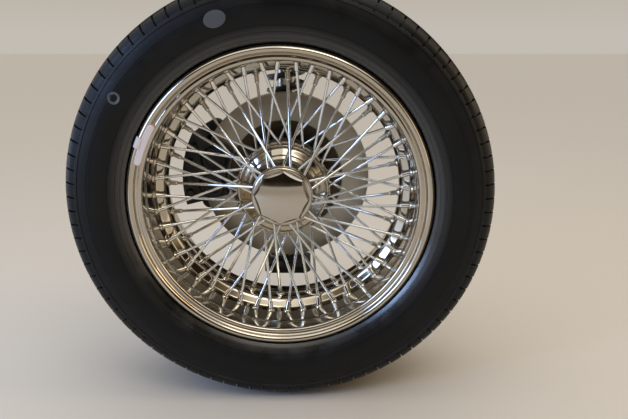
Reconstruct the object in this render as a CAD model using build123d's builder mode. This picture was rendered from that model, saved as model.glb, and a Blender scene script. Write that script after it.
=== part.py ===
"""A laced wire wheel with its tyre, on the stub axle and sliding pillar that carry and steer it.

Millimetres, +Z up. The axle runs along Y: outboard, the side that shows on a car, is towards -Y.
The origin is halfway up the threaded pin at the pillar's top. Sizes along the axle are given as
"out", the distance outboard of the wheel's centre plane. Angles round the wheel are clockwise from
the top, seen from outboard.
"""

import os
from math import cos, pi, radians, sin

from build123d import *

# Tyre, 205/55 R16
TYRE_RADIUS = 316.0
TYRE_WIDTH = 208.0
TREAD_HALF = 86.0
TREAD_STEP = 3.5  # from the middle rib down to the outer ones
GROOVE_PLACE = 26.0
GROOVE_WIDTH = 10.0
GROOVE_DEPTH = 7.0
SHOULDER_OUT = 98.0
SHOULDER_DROP = 17.5
BULGE_RADIUS = 262.0
BULGE_HEIGHT = 40.0
CARCASS_DEPTH = 20.0
BEAD_WIDTH = 15.0
BEAD_ABOVE_FLANGE = 1.0

# Rim, 16 x 6.5J
BEAD_SEAT_RADIUS = 202.8
FLANGE_RADIUS = 220.3
FLANGE_GAP = 165.0
LIP_WIDTH = 8.5
LIP_ROLL = 2.0
LIP_CURL = 5.0
LIP_SAG = 1.0
RIM_WALL = 3.2
WELL_DEPTH = 16.6
WELL_FRONT_OUT = 0.0
WELL_WIDTH = 21.0
WELL_FRONT_SLOPE = 10.0
WELL_REAR_SLOPE = 15.0
TYRE_CLEARANCE = 0.2

# Spokes and nipples
WIRE_SIDES = 6  # round wire and nipples are drawn as prisms
SPOKE_RADIUS = 2.2
NIPPLE_RADIUS = 3.6
NIPPLE_LENGTH = 17.0
NIPPLE_CLEARANCE = 0.3
FIRST_PAIR = 10.0
FLANGE_SPOKES = 48
FLANGE_NIPPLE_OUT = 20.0
FLANGE_LEAN = 22.5
FLANGE_FOOT_INSET = 8.0
FLANGE_ELBOW_GAP = 5.5
NOSE_SPOKES = 24
NOSE_LEAN = 15.0
NOSE_RIGHT_FOOT_INSET = 4.0
NOSE_LEFT_FOOT_INSET = 12.0

# Hub shell
NOSE_OUT = 46.0
NOSE_RADIUS = 46.5
NOSE_LENGTH = 17.0
FLARE_RISE = 7.0
FLARE_LENGTH = 14.0
BELL_RADIUS = 71.5
BELL_EDGE = 5.0
SPOKE_GROOVE_RADIUS = 58.0
SPOKE_GROOVE_WIDTH = 11.0
FOOT_FLANGE_OUT = -9.0
FOOT_FLANGE_THICKNESS = 6.0
FOOT_FLANGE_RADIUS = 74.0
HUB_TUBE_RADIUS = 52.0
HUB_REAR_OUT = -60.0
SPLINE_RADIUS = 38.0
SPLINE_CLEARANCE = 0.3

# Hub adaptor, brake disc and nut
SPINDLE_RADIUS = 18.0
RUNNING_CLEARANCE = 0.05
THREAD_RADIUS = 27.0
THREAD_PAST_NOSE = 13.0
THREAD_CLEARANCE = 0.2
BARREL_RECESS = 2.0
COLLAR_RADIUS = 48.0
DISC_FLANGE_RADIUS = 68.0
DISC_FLANGE_THICKNESS = 10.0
DISC_FACE_OUT = -88.0
DISC_RADIUS = 142.0
DISC_BORE_RADIUS = 40.0
DISC_THICKNESS = 22.0
NUT_SKIRT_RADIUS = 45.0
NUT_SKIRT_LENGTH = 6.0
NUT_CORNER_INSET = 1.5
NUT_SIDES = 8
NUT_CORNER_ANGLE = 5.0
NUT_LENGTH = 20.0
NUT_FLAT_HEIGHT = 12.0
NUT_FLAT_INSET = 4.0
NUT_CHAMFER = 1.2

# Pillar, springs and stub axle
KINGPIN_RADIUS = 16.0
AXLE_BELOW_SHOULDER = 225.0
FOOT_BELOW_AXLE = 175.0
TOP_PIN_RADIUS = 11.0
TOP_PIN_LENGTH = 33.0
FOOT_SIZE = 84.0
FOOT_THICKNESS = 12.0
FOOT_CORNER = 10.0
FOOT_HOLE_SPACING = 62.0
FOOT_HOLE_RADIUS = 5.2
CUP_RADIUS = 39.0
CUP_THICKNESS = 4.0
CUP_BELOW_SHOULDER = 12.0
UPRIGHT_RADIUS = 27.0
UPRIGHT_HALF = 62.0
UPRIGHT_GAP = 4.0
THRUST_THICKNESS = 4.0
THRUST_RADIUS = 36.0
SPRING_RADIUS = 30.0
WIRE_RADIUS = 4.75
SPRING_END_GAP = 0.3
MAIN_TURNS = 6
REBOUND_TURNS = 3
RUNS_A_TURN = 12
SPINDLE_ROOT_RADIUS = 24.0
SPINDLE_ROOT_GAP = 2.0
SPINDLE_BEHIND_NOSE = 6.0

# Brake caliper
CALIPER_ANGLE = 277.0
CALIPER_SPAN = 42.0
CALIPER_DEPTH = 44.0
CALIPER_HALF_THICKNESS = 20.0
CALIPER_LUG_THICKNESS = 13.0
BRIDGE_GAP = 6.0
BRIDGE_THICKNESS = 22.0
POCKET_OVERCUT = 5.0
POCKET_MARGIN = 10.0
PAD_THICKNESS = 12.0
PAD_GAP = 0.8
PAD_SPAN = 34.0
PAD_EDGE_INSET = 2.0
PAD_DEPTH = 38.0
BRACKET_THICKNESS = 8.0
BRACKET_GAP = 6.0
BRACKET_RING_RADIUS = 38.0
BRACKET_BORE_CLEARANCE = 0.1
BRACKET_WINDOW_GAP = 6.0
BRACKET_WINDOW_MARGIN = 2.0
BRACKET_EAR_ANGLE = 27.0
BRACKET_EAR_INSET = 24.0
BRACKET_EAR_RADIUS = 13.0
PORT_INSET = 30.0
PORT_BOSS_RADIUS = 9.0
PORT_BOSS_HEIGHT = 5.0
PORT_RADIUS = 5.0
PORT_DEPTH = 14.0

# Steering arm
ARM_BELOW_AXLE = 54.0
ARM_THICKNESS = 16.0
ARM_REACH = 140.0
ARM_INBOARD = 12.0
ARM_RING_RADIUS = 38.0
ARM_RING_CLEARANCE = 0.1
ARM_EYE_RADIUS = 17.0
ARM_BORE_RADIUS = 8.0

# Balance weight
WEIGHT_ANGLE = 294.2
WEIGHT_SPAN = 17.0
WEIGHT_BELOW_LIP = 4.1
WEIGHT_HEIGHT = 8.5
WEIGHT_THICKNESS = 5.0

# Places that follow from the sizes
DISC_REAR_OUT = DISC_FACE_OUT - DISC_THICKNESS
BRACKET_OUT = DISC_REAR_OUT - BRACKET_GAP
KINGPIN_OUT = BRACKET_OUT - BRACKET_THICKNESS - UPRIGHT_GAP - UPRIGHT_RADIUS
AXLE_Z = -TOP_PIN_LENGTH / 2 - AXLE_BELOW_SHOULDER
WHEEL_Y = KINGPIN_OUT
AXLE_CENTRE = Vector(0, WHEEL_Y, AXLE_Z)
AXLE = Axis(AXLE_CENTRE, (0, -1, 0))
SECTION = Plane(AXLE_CENTRE, x_dir=(0, -1, 0), z_dir=(-1, 0, 0))  # across: out, up: radius
WHEEL_PLANE = Plane(AXLE_CENTRE, x_dir=(1, 0, 0), z_dir=(0, -1, 0))  # the wheel seen from outboard
FLANGE_FACE = FLANGE_GAP / 2
RIM_BORE_RADIUS = BEAD_SEAT_RADIUS - RIM_WALL
WELL_BORE_RADIUS = RIM_BORE_RADIUS - WELL_DEPTH
WELL_REAR_OUT = WELL_FRONT_OUT - WELL_WIDTH
FOOT_FLANGE_REAR = FOOT_FLANGE_OUT - FOOT_FLANGE_THICKNESS
BELL_OUT = FOOT_FLANGE_OUT + SPOKE_GROOVE_WIDTH
THREAD_OUT = NOSE_OUT + THREAD_PAST_NOSE
CALIPER_BRIDGE_RADIUS = DISC_RADIUS + BRIDGE_GAP
CALIPER_OUTER_RADIUS = CALIPER_BRIDGE_RADIUS + BRIDGE_THICKNESS
CALIPER_INNER_RADIUS = DISC_RADIUS - CALIPER_DEPTH
SHOULDER_Z = -TOP_PIN_LENGTH / 2
FOOT_TOP_Z = AXLE_Z - FOOT_BELOW_AXLE
CUP_UNDERSIDE_Z = SHOULDER_Z - CUP_BELOW_SHOULDER - CUP_THICKNESS

os.makedirs("parts", exist_ok=True)


def wheel_plane(out):
    """The plane across the axle at a distance outboard, seen from outboard."""
    return WHEEL_PLANE.offset(out)


def on_wheel(radius, angle, out):
    """A point in the wheel's own frame, whose Z points outboard."""
    return Vector(radius * sin(radians(angle)), radius * cos(radians(angle)), out)


def across_wheel(point):
    """The plane through a point of the wheel's frame that faces straight away from the axle."""
    return Plane(point, z_dir=(point.X, point.Y, 0))


def nipple_at(seat_point, mouth):
    """A nipple from its flat head at the rim to its mouth, where the spoke goes in."""
    outward = (seat_point - mouth).normalized()
    with BuildPart() as nipple:
        with BuildSketch(Plane(mouth, z_dir=outward)):
            RegularPolygon(NIPPLE_RADIUS, WIRE_SIDES)
        extrude(amount=NIPPLE_LENGTH + 2 * NIPPLE_RADIUS)
        split(bisect_by=across_wheel(seat_point), keep=Keep.BOTTOM)
    return nipple.part


def ring_sector(inner, outer, angle, span):
    """Draws a sector of a ring about the axle in the sketch that is open."""
    start = 90 - angle - span / 2
    with BuildLine() as outline:
        low = CenterArc((0, 0), inner, start, span)
        high = CenterArc((0, 0), outer, start, span)
        Line(low @ 0, high @ 0)
        Line(low @ 1, high @ 1)
    make_face(outline.line.edges())


def keep(piece, name):
    """Labels a finished piece and writes it."""
    piece.part.label = name
    export_step(piece.part, f"parts/{name}.step")


# Rim: one rolled band, traced along the middle of its wall from the outboard lip to the inboard one
half_wall = RIM_WALL / 2
seat = BEAD_SEAT_RADIUS - half_wall
well = seat - WELL_DEPTH
web = FLANGE_FACE + half_wall
lip = FLANGE_RADIUS - half_wall
with BuildPart() as rim:
    with BuildSketch(SECTION):
        with BuildLine():
            Polyline(
                (web + LIP_WIDTH, lip - LIP_CURL),
                (web + LIP_WIDTH - LIP_ROLL, lip),
                (web, lip - LIP_SAG),
                (web, seat),
                (WELL_FRONT_OUT + WELL_FRONT_SLOPE, seat),
                (WELL_FRONT_OUT, well),
                (WELL_REAR_OUT, well),
                (WELL_REAR_OUT - WELL_REAR_SLOPE, seat),
                (-web, seat),
                (-web, lip - LIP_SAG),
                (-web - LIP_WIDTH + LIP_ROLL, lip),
                (-web - LIP_WIDTH, lip - LIP_CURL),
            )
        trace(line_width=RIM_WALL)
    revolve(axis=AXLE)
keep(rim, "rim")

# Tyre: a grooved tread on a hollow carcass, its beads against the rim's flanges
bead_out = FLANGE_FACE - TYRE_CLEARANCE
bead_radius = BEAD_SEAT_RADIUS + TYRE_CLEARANCE
outer_rib = TYRE_RADIUS - TREAD_STEP
with BuildPart() as tyre:
    with BuildSketch(SECTION):
        with BuildLine():
            Polyline(
                (0, TYRE_RADIUS),
                (GROOVE_PLACE - GROOVE_WIDTH / 2, TYRE_RADIUS),
                (GROOVE_PLACE, outer_rib - GROOVE_DEPTH),
                (GROOVE_PLACE + GROOVE_WIDTH / 2, outer_rib),
                (TREAD_HALF, outer_rib),
                (SHOULDER_OUT, TYRE_RADIUS - SHOULDER_DROP),
                (TYRE_WIDTH / 2, BULGE_RADIUS + BULGE_HEIGHT / 2),
                (TYRE_WIDTH / 2, BULGE_RADIUS - BULGE_HEIGHT / 2),
                (bead_out, FLANGE_RADIUS + BEAD_ABOVE_FLANGE),
                (bead_out, bead_radius),
                (bead_out - BEAD_WIDTH, bead_radius),
                (bead_out - BEAD_WIDTH, TYRE_RADIUS - CARCASS_DEPTH),
                (0, TYRE_RADIUS - CARCASS_DEPTH),
            )
            mirror(about=Plane.YZ)
        make_face()
    revolve(axis=AXLE)
keep(tyre, "tyre")

# Hub shell: nose, flared bell with its bright edge, groove for the elbows, foot flange and tube
with BuildPart() as hub_shell:
    with BuildSketch(SECTION):
        with BuildLine():
            Polyline(
                (NOSE_OUT, SPLINE_RADIUS + SPLINE_CLEARANCE),
                (NOSE_OUT, NOSE_RADIUS),
                (NOSE_OUT - NOSE_LENGTH, NOSE_RADIUS),
                (NOSE_OUT - NOSE_LENGTH - FLARE_LENGTH, NOSE_RADIUS + FLARE_RISE),
                (BELL_OUT + BELL_EDGE, BELL_RADIUS),
                (BELL_OUT, BELL_RADIUS),
                (BELL_OUT, SPOKE_GROOVE_RADIUS),
                (FOOT_FLANGE_OUT, SPOKE_GROOVE_RADIUS),
                (FOOT_FLANGE_OUT, FOOT_FLANGE_RADIUS),
                (FOOT_FLANGE_REAR, FOOT_FLANGE_RADIUS),
                (FOOT_FLANGE_REAR, HUB_TUBE_RADIUS),
                (HUB_REAR_OUT, HUB_TUBE_RADIUS),
                (HUB_REAR_OUT, SPLINE_RADIUS + SPLINE_CLEARANCE),
                close=True,
            )
        make_face()
    revolve(axis=AXLE)
keep(hub_shell, "hub_shell")

# Flange spokes: a straight run from the nipple, then an elbow into the foot flange, from its
# outboard face on the right-leaning spokes and from its inboard face on the left-leaning ones
flange_pair = 360 / FLANGE_SPOKES
foot_radius = FOOT_FLANGE_RADIUS - FLANGE_FOOT_INSET
# name: side of the pair the nipple is on, foot's face, elbow's place
flange_lacing = {
    "right": (-1, FOOT_FLANGE_OUT, FOOT_FLANGE_OUT + FLANGE_ELBOW_GAP),
    "left": (1, FOOT_FLANGE_REAR, FOOT_FLANGE_REAR - FLANGE_ELBOW_GAP),
}
flange_nipple_seeds = []
for lean, (side_of_pair, face, elbow_out) in flange_lacing.items():
    nipple_angle = FIRST_PAIR + side_of_pair * flange_pair / 2
    foot_angle = nipple_angle - side_of_pair * FLANGE_LEAN
    seat_point = on_wheel(RIM_BORE_RADIUS - NIPPLE_CLEARANCE, nipple_angle, FLANGE_NIPPLE_OUT)
    elbow = on_wheel(foot_radius, foot_angle, elbow_out)
    mouth = seat_point + (elbow - seat_point).normalized() * NIPPLE_LENGTH
    with BuildPart() as spoke:
        with BuildLine() as run:
            Polyline(on_wheel(foot_radius, foot_angle, face), elbow, mouth)
        with BuildSketch(run.line ^ 0):
            RegularPolygon(SPOKE_RADIUS, WIRE_SIDES)
        sweep(transition=Transition.RIGHT)
    flange_nipple_seeds.append(nipple_at(seat_point, mouth))
    with BuildPart(WHEEL_PLANE) as flange_spokes:
        with PolarLocations(0, FLANGE_SPOKES // 2):
            add(spoke.part)
    keep(flange_spokes, f"flange_spokes_{lean}")
with BuildPart(WHEEL_PLANE) as flange_nipples:
    with PolarLocations(0, FLANGE_SPOKES // 2):
        add(flange_nipple_seeds)
keep(flange_nipples, "flange_nipples")

# Nose spokes: straight runs in crossing pairs from the well's floor to the hub's nose
nose_pair = 360 / NOSE_SPOKES
# name: side of the pair the nipple is on, foot's place
nose_lacing = {
    "right": (-1, NOSE_OUT - NOSE_RIGHT_FOOT_INSET),
    "left": (1, NOSE_OUT - NOSE_LEFT_FOOT_INSET),
}
nose_nipple_seeds = []
for lean, (side_of_pair, foot_out) in nose_lacing.items():
    nipple_angle = FIRST_PAIR + side_of_pair * nose_pair / 2
    foot_angle = nipple_angle - side_of_pair * NOSE_LEAN
    middle_of_well = (WELL_FRONT_OUT + WELL_REAR_OUT) / 2
    seat_point = on_wheel(WELL_BORE_RADIUS - NIPPLE_CLEARANCE, nipple_angle, middle_of_well)
    root = on_wheel(NOSE_RADIUS - SPOKE_RADIUS, foot_angle, foot_out)
    mouth = seat_point + (root - seat_point).normalized() * NIPPLE_LENGTH
    with BuildPart() as spoke:
        with BuildLine() as run:
            Line(root, mouth)
        with BuildSketch(run.line ^ 0):
            RegularPolygon(SPOKE_RADIUS, WIRE_SIDES)
        sweep()
        split(bisect_by=across_wheel(on_wheel(NOSE_RADIUS, foot_angle, foot_out)), keep=Keep.TOP)
    nose_nipple_seeds.append(nipple_at(seat_point, mouth))
    with BuildPart(WHEEL_PLANE) as nose_spokes:
        with PolarLocations(0, NOSE_SPOKES // 2):
            add(spoke.part)
    keep(nose_spokes, f"nose_spokes_{lean}")
with BuildPart(WHEEL_PLANE) as nose_nipples:
    with PolarLocations(0, NOSE_SPOKES // 2):
        add(nose_nipple_seeds)
keep(nose_nipples, "nose_nipples")

# Hub adaptor: the barrel that the hub shell slides onto, with the disc's flange and the nut's thread
with BuildPart() as hub_adaptor:
    with BuildSketch(SECTION):
        with BuildLine():
            Polyline(
                (THREAD_OUT, SPINDLE_RADIUS + RUNNING_CLEARANCE),
                (THREAD_OUT, THREAD_RADIUS),
                (NOSE_OUT - BARREL_RECESS, THREAD_RADIUS),
                (NOSE_OUT - BARREL_RECESS, SPLINE_RADIUS),
                (HUB_REAR_OUT, SPLINE_RADIUS),
                (HUB_REAR_OUT, COLLAR_RADIUS),
                (DISC_FACE_OUT + DISC_FLANGE_THICKNESS, COLLAR_RADIUS),
                (DISC_FACE_OUT + DISC_FLANGE_THICKNESS, DISC_FLANGE_RADIUS),
                (DISC_FACE_OUT, DISC_FLANGE_RADIUS),
                (DISC_FACE_OUT, SPINDLE_RADIUS + RUNNING_CLEARANCE),
                close=True,
            )
        make_face()
    revolve(axis=AXLE)
keep(hub_adaptor, "hub_adaptor")

# Brake disc, bolted behind the adaptor's flange
with BuildPart() as brake_disc:
    with BuildSketch(wheel_plane(DISC_FACE_OUT)):
        Circle(DISC_RADIUS)
        Circle(DISC_BORE_RADIUS, mode=Mode.SUBTRACT)
    extrude(amount=-DISC_THICKNESS)
keep(brake_disc, "brake_disc")

# Knock-off nut: round skirt, eight tapered flats, blind thread
with BuildPart() as knock_off_nut:
    with BuildSketch(wheel_plane(NOSE_OUT + NUT_SKIRT_LENGTH)):
        RegularPolygon(NUT_SKIRT_RADIUS - NUT_CORNER_INSET, NUT_SIDES, rotation=-NUT_CORNER_ANGLE)
    extrude(amount=NUT_LENGTH - NUT_SKIRT_LENGTH)
    face = knock_off_nut.faces().sort_by(Axis.Y)[0]
    chamfer(face.edges(), length=NUT_FLAT_INSET, length2=NUT_FLAT_HEIGHT, reference=face)
    chamfer(knock_off_nut.faces().sort_by(Axis.Y)[0].edges(), length=NUT_CHAMFER)
    with BuildSketch(wheel_plane(NOSE_OUT)):
        Circle(NUT_SKIRT_RADIUS)
    extrude(amount=NUT_SKIRT_LENGTH)
    with BuildSketch(wheel_plane(NOSE_OUT)):
        Circle(THREAD_RADIUS + THREAD_CLEARANCE)
    extrude(amount=THREAD_OUT + THREAD_CLEARANCE - NOSE_OUT, mode=Mode.SUBTRACT)
keep(knock_off_nut, "knock_off_nut")

# Balance weight on the outboard flange, under its lip
weight_outer = FLANGE_RADIUS - RIM_WALL - WEIGHT_BELOW_LIP
with BuildPart() as balance_weight:
    with BuildSketch(wheel_plane(FLANGE_FACE + RIM_WALL)):
        ring_sector(weight_outer - WEIGHT_HEIGHT, weight_outer, WEIGHT_ANGLE, WEIGHT_SPAN)
    extrude(amount=WEIGHT_THICKNESS)
keep(balance_weight, "balance_weight")

# Kingpin pillar: ground pin, threaded top
with BuildPart() as kingpin:
    with BuildSketch(Plane.XY.offset(FOOT_TOP_Z)):
        Circle(KINGPIN_RADIUS)
    extrude(amount=SHOULDER_Z - FOOT_TOP_Z)
    with BuildSketch(Plane.XY.offset(SHOULDER_Z)):
        Circle(TOP_PIN_RADIUS)
    extrude(amount=TOP_PIN_LENGTH)
keep(kingpin, "kingpin")

# Pillar foot: square plate with four bolt holes
with BuildPart() as pillar_foot:
    with BuildSketch(Plane.XY.offset(FOOT_TOP_Z)):
        Rectangle(FOOT_SIZE, FOOT_SIZE)
        chamfer(vertices(), length=FOOT_CORNER)
        with GridLocations(FOOT_HOLE_SPACING, FOOT_HOLE_SPACING, 2, 2):
            Circle(FOOT_HOLE_RADIUS, mode=Mode.SUBTRACT)
    extrude(amount=-FOOT_THICKNESS)
keep(pillar_foot, "pillar_foot")

# Spring cup under the pillar's shoulder
with BuildPart() as spring_cup:
    with BuildSketch(Plane.XY.offset(CUP_UNDERSIDE_Z)):
        Circle(CUP_RADIUS)
        Circle(KINGPIN_RADIUS, mode=Mode.SUBTRACT)
    extrude(amount=CUP_THICKNESS)
keep(spring_cup, "spring_cup")

# Springs: wire coiled about the kingpin above and below the upright, in short straight runs
thrust_top = AXLE_Z + UPRIGHT_HALF + THRUST_THICKNESS
# name: lowest and highest point of the spring, turns
springs = {
    "main_spring": (thrust_top + SPRING_END_GAP, CUP_UNDERSIDE_Z - SPRING_END_GAP, MAIN_TURNS),
    "rebound_spring": (
        FOOT_TOP_Z + SPRING_END_GAP,
        AXLE_Z - UPRIGHT_HALF - SPRING_END_GAP,
        REBOUND_TURNS,
    ),
}
for name, (low, high, turns) in springs.items():
    runs = turns * RUNS_A_TURN
    rise = (high - low - 2 * WIRE_RADIUS) / runs
    turn = 2 * pi / RUNS_A_TURN
    points = [
        (SPRING_RADIUS * cos(i * turn), SPRING_RADIUS * sin(i * turn), low + WIRE_RADIUS + i * rise)
        for i in range(runs + 1)
    ]
    with BuildPart() as spring:
        with BuildLine() as coil:
            Polyline(*points)
        with BuildSketch(coil.line ^ 0):
            RegularPolygon(WIRE_RADIUS, WIRE_SIDES)
        sweep(transition=Transition.RIGHT)
    keep(spring, name)

# Upright and stub axle: the tube that slides on the kingpin, with the spindle forged to it
with BuildPart() as stub_axle:
    with BuildSketch(Plane.XY.offset(AXLE_Z - UPRIGHT_HALF)):
        Circle(UPRIGHT_RADIUS)
    extrude(amount=2 * UPRIGHT_HALF)
    with BuildSketch(SECTION):
        with BuildLine():
            Polyline(
                (KINGPIN_OUT, 0),
                (KINGPIN_OUT, SPINDLE_ROOT_RADIUS),
                (DISC_REAR_OUT - SPINDLE_ROOT_GAP, SPINDLE_ROOT_RADIUS),
                (DISC_REAR_OUT - SPINDLE_ROOT_GAP, SPINDLE_RADIUS),
                (NOSE_OUT - SPINDLE_BEHIND_NOSE, SPINDLE_RADIUS),
                (NOSE_OUT - SPINDLE_BEHIND_NOSE, 0),
                close=True,
            )
        make_face()
    revolve(axis=AXLE)
    with BuildSketch(Plane.XY.offset(AXLE_Z - UPRIGHT_HALF)):
        Circle(KINGPIN_RADIUS + RUNNING_CLEARANCE)
    extrude(amount=2 * UPRIGHT_HALF, mode=Mode.SUBTRACT)
keep(stub_axle, "stub_axle")

# Thrust washer under the main spring
with BuildPart() as thrust_washer:
    with BuildSketch(Plane.XY.offset(AXLE_Z + UPRIGHT_HALF)):
        Circle(THRUST_RADIUS)
        Circle(KINGPIN_RADIUS + RUNNING_CLEARANCE, mode=Mode.SUBTRACT)
    extrude(amount=THRUST_THICKNESS)
keep(thrust_washer, "thrust_washer")

# Steering arm: forged ring on the upright, reaching forward to the track rod's eye
with BuildPart() as steering_arm:
    with BuildSketch(Plane.XY.offset(AXLE_Z - ARM_BELOW_AXLE)):
        with BuildSketch(mode=Mode.PRIVATE) as ends:
            Circle(ARM_RING_RADIUS)
            with Locations((-ARM_REACH, ARM_INBOARD)):
                Circle(ARM_EYE_RADIUS)
        make_hull(ends.sketch.edges())
        Circle(UPRIGHT_RADIUS + ARM_RING_CLEARANCE, mode=Mode.SUBTRACT)
        with Locations((-ARM_REACH, ARM_INBOARD)):
            Circle(ARM_BORE_RADIUS, mode=Mode.SUBTRACT)
    extrude(amount=ARM_THICKNESS / 2, both=True)
keep(steering_arm, "steering_arm")

# Caliper bracket: a plate behind the disc, with an ear each side of the caliper
ear_radius = CALIPER_OUTER_RADIUS - BRACKET_EAR_INSET
ears = [on_wheel(ear_radius, CALIPER_ANGLE + side * BRACKET_EAR_ANGLE, 0) for side in (-1, 1)]
window_inner = CALIPER_INNER_RADIUS - BRACKET_WINDOW_GAP
with BuildPart() as caliper_bracket:
    with BuildSketch(wheel_plane(BRACKET_OUT)):
        with BuildSketch(mode=Mode.PRIVATE) as ends:
            Circle(BRACKET_RING_RADIUS)
            with Locations(*ears):
                Circle(BRACKET_EAR_RADIUS)
        make_hull(ends.sketch.edges())
        with BuildSketch(mode=Mode.PRIVATE) as window:
            ring_sector(
                window_inner, CALIPER_OUTER_RADIUS, CALIPER_ANGLE, CALIPER_SPAN + BRACKET_WINDOW_MARGIN
            )
        add(window.sketch, mode=Mode.SUBTRACT)
        Circle(SPINDLE_ROOT_RADIUS + BRACKET_BORE_CLEARANCE, mode=Mode.SUBTRACT)
    extrude(amount=-BRACKET_THICKNESS)
keep(caliper_bracket, "caliper_bracket")

# Brake pads each side of the disc
outer_half = DISC_FACE_OUT + PAD_GAP + PAD_THICKNESS
inner_half = DISC_REAR_OUT - PAD_GAP - PAD_THICKNESS
pad_outer_radius = DISC_RADIUS - PAD_EDGE_INSET
pad_faces = {
    "brake_pad_outer": DISC_FACE_OUT + PAD_GAP,
    "brake_pad_inner": inner_half,
}
for name, out in pad_faces.items():
    with BuildPart() as pad:
        with BuildSketch(wheel_plane(out)):
            ring_sector(pad_outer_radius - PAD_DEPTH, pad_outer_radius, CALIPER_ANGLE, PAD_SPAN)
        extrude(amount=PAD_THICKNESS)
    keep(pad, name)

# Brake caliper: two halves joined by a bridge over the disc's edge
caliper_rear = inner_half - CALIPER_HALF_THICKNESS
with BuildPart() as brake_caliper:
    with BuildSketch(wheel_plane(caliper_rear)):
        ring_sector(CALIPER_INNER_RADIUS, CALIPER_OUTER_RADIUS, CALIPER_ANGLE, CALIPER_SPAN)
    extrude(amount=outer_half + CALIPER_HALF_THICKNESS - caliper_rear)
    with BuildSketch(wheel_plane(inner_half)):
        ring_sector(
            CALIPER_INNER_RADIUS - POCKET_OVERCUT,
            CALIPER_BRIDGE_RADIUS,
            CALIPER_ANGLE,
            CALIPER_SPAN + POCKET_MARGIN,
        )
    extrude(amount=outer_half - inner_half, mode=Mode.SUBTRACT)
    with BuildSketch(wheel_plane(BRACKET_OUT - BRACKET_THICKNESS)):
        with BuildSketch(mode=Mode.PRIVATE) as lugs:
            ring_sector(CALIPER_INNER_RADIUS, CALIPER_OUTER_RADIUS, CALIPER_ANGLE, CALIPER_SPAN)
            with Locations(*ears):
                Circle(BRACKET_EAR_RADIUS)
        make_hull(lugs.sketch.edges())
    extrude(amount=-CALIPER_LUG_THICKNESS)
    port = on_wheel(CALIPER_OUTER_RADIUS - PORT_INSET, CALIPER_ANGLE, 0)
    with BuildSketch(wheel_plane(caliper_rear)):
        with Locations((port.X, port.Y)):
            Circle(PORT_BOSS_RADIUS)
    extrude(amount=-PORT_BOSS_HEIGHT)
    with BuildSketch(wheel_plane(caliper_rear - PORT_BOSS_HEIGHT)):
        with Locations((port.X, port.Y)):
            Circle(PORT_RADIUS)
    extrude(amount=PORT_DEPTH, mode=Mode.SUBTRACT)
keep(brake_caliper, "brake_caliper")
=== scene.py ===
"""A laced wire wheel on its stub axle and sliding pillar, modelled and dressed for a studio picture.

Sizes are millimetres until a piece is finished, when its mesh is placed in the part's frame, in
metres, +Z up and outboard towards -Y. On the wheel, "out" is the distance outboard of the wheel's
centre plane, and angles run clockwise from the top, seen from outboard. The wheel's own axes are
across, up and outboard.
"""

import logging
from collections.abc import Iterable, Sequence
from dataclasses import dataclass
from enum import Enum
from math import asin, cos, pi, radians, sin, sqrt, tan

import bmesh
import bpy
from bmesh.types import BMEdge, BMesh, BMFace, BMVert
from bpy.types import Material, Node, NodeSocket, NodeTree, Object, Scene
from mathutils import Matrix, Vector


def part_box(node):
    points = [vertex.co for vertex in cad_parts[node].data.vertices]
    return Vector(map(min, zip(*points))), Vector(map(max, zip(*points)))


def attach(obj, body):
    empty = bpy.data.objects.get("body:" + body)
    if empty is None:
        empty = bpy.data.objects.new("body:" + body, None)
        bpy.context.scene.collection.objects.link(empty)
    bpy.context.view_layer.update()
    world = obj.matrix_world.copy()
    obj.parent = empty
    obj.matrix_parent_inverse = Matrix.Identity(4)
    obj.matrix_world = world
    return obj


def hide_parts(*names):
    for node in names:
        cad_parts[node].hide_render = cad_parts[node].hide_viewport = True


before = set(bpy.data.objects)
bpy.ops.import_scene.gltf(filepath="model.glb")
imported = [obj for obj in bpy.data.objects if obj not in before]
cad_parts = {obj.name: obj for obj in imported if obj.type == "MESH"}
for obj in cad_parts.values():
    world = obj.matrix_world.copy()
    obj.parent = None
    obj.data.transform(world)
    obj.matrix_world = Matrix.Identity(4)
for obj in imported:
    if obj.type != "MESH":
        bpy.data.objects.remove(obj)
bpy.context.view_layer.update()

log = logging.getLogger("wire_wheel")

MM = 0.001
WELD = 0.01
FLAT = 0.5
SHARP = 35.0
Z = Vector((0.0, 0.0, 1.0))
ORIGIN = Vector((0.0, 0.0, 0.0))


class Body(Enum):
    """The three bodies that the pieces ride on."""

    WHEEL = "wheel"
    STUB_AXLE = "stub_axle"
    PILLAR = "pillar"


@dataclass(frozen=True)
class Corner:
    """A corner of a turned section: its place along the axis, its radius and where its round begins."""

    out: float
    radius: float
    rounding: float = 0.0


# Rows that each hold what a corner does: its place along the axis, its radius and its rounding
Profile = tuple[tuple[float, float, float], ...]


def corners_from(profile: Profile, out: float = 0.0, radius: float = 0.0) -> list[Corner]:
    """Makes corners of a profile's rows.

    Args:
        profile: The rows.
        out: The place along the axis that the rows count from.
        radius: The radius that the rows count from.

    Returns:
        The corners in order.
    """
    return [Corner(out + along, radius + away, rounding) for along, away, rounding in profile]


def capped(corners: Sequence[Corner]) -> list[Corner]:
    """Brings a section down to the axis at both ends."""
    return [Corner(corners[0].out, 0), *corners, Corner(corners[-1].out, 0)]


def wheel_frame() -> Matrix:
    """The wheel's axes in millimetres, carried to the part's frame in metres.

    Returns:
        The matrix, with the wheel's centre taken from the tyre's own box.
    """
    low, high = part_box("tyre")
    turned = Matrix(((1, 0, 0), (0, 0, -1), (0, 1, 0))).to_4x4()
    return Matrix.Translation((low + high) / 2) @ turned @ Matrix.Scale(MM, 4)


def part_frame() -> Matrix:
    """The part's frame in millimetres, carried to metres."""
    return Matrix.Scale(MM, 4)


def on_wheel(radius: float, angle: float, out: float) -> Vector:
    """A place on the wheel, in the wheel's axes.

    Args:
        radius: Distance from the axle.
        angle: Degrees clockwise from the top.
        out: Distance outboard of the centre plane.

    Returns:
        The point, in millimetres.
    """
    return Vector((radius * sin(radians(angle)), radius * cos(radians(angle)), out))


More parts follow.
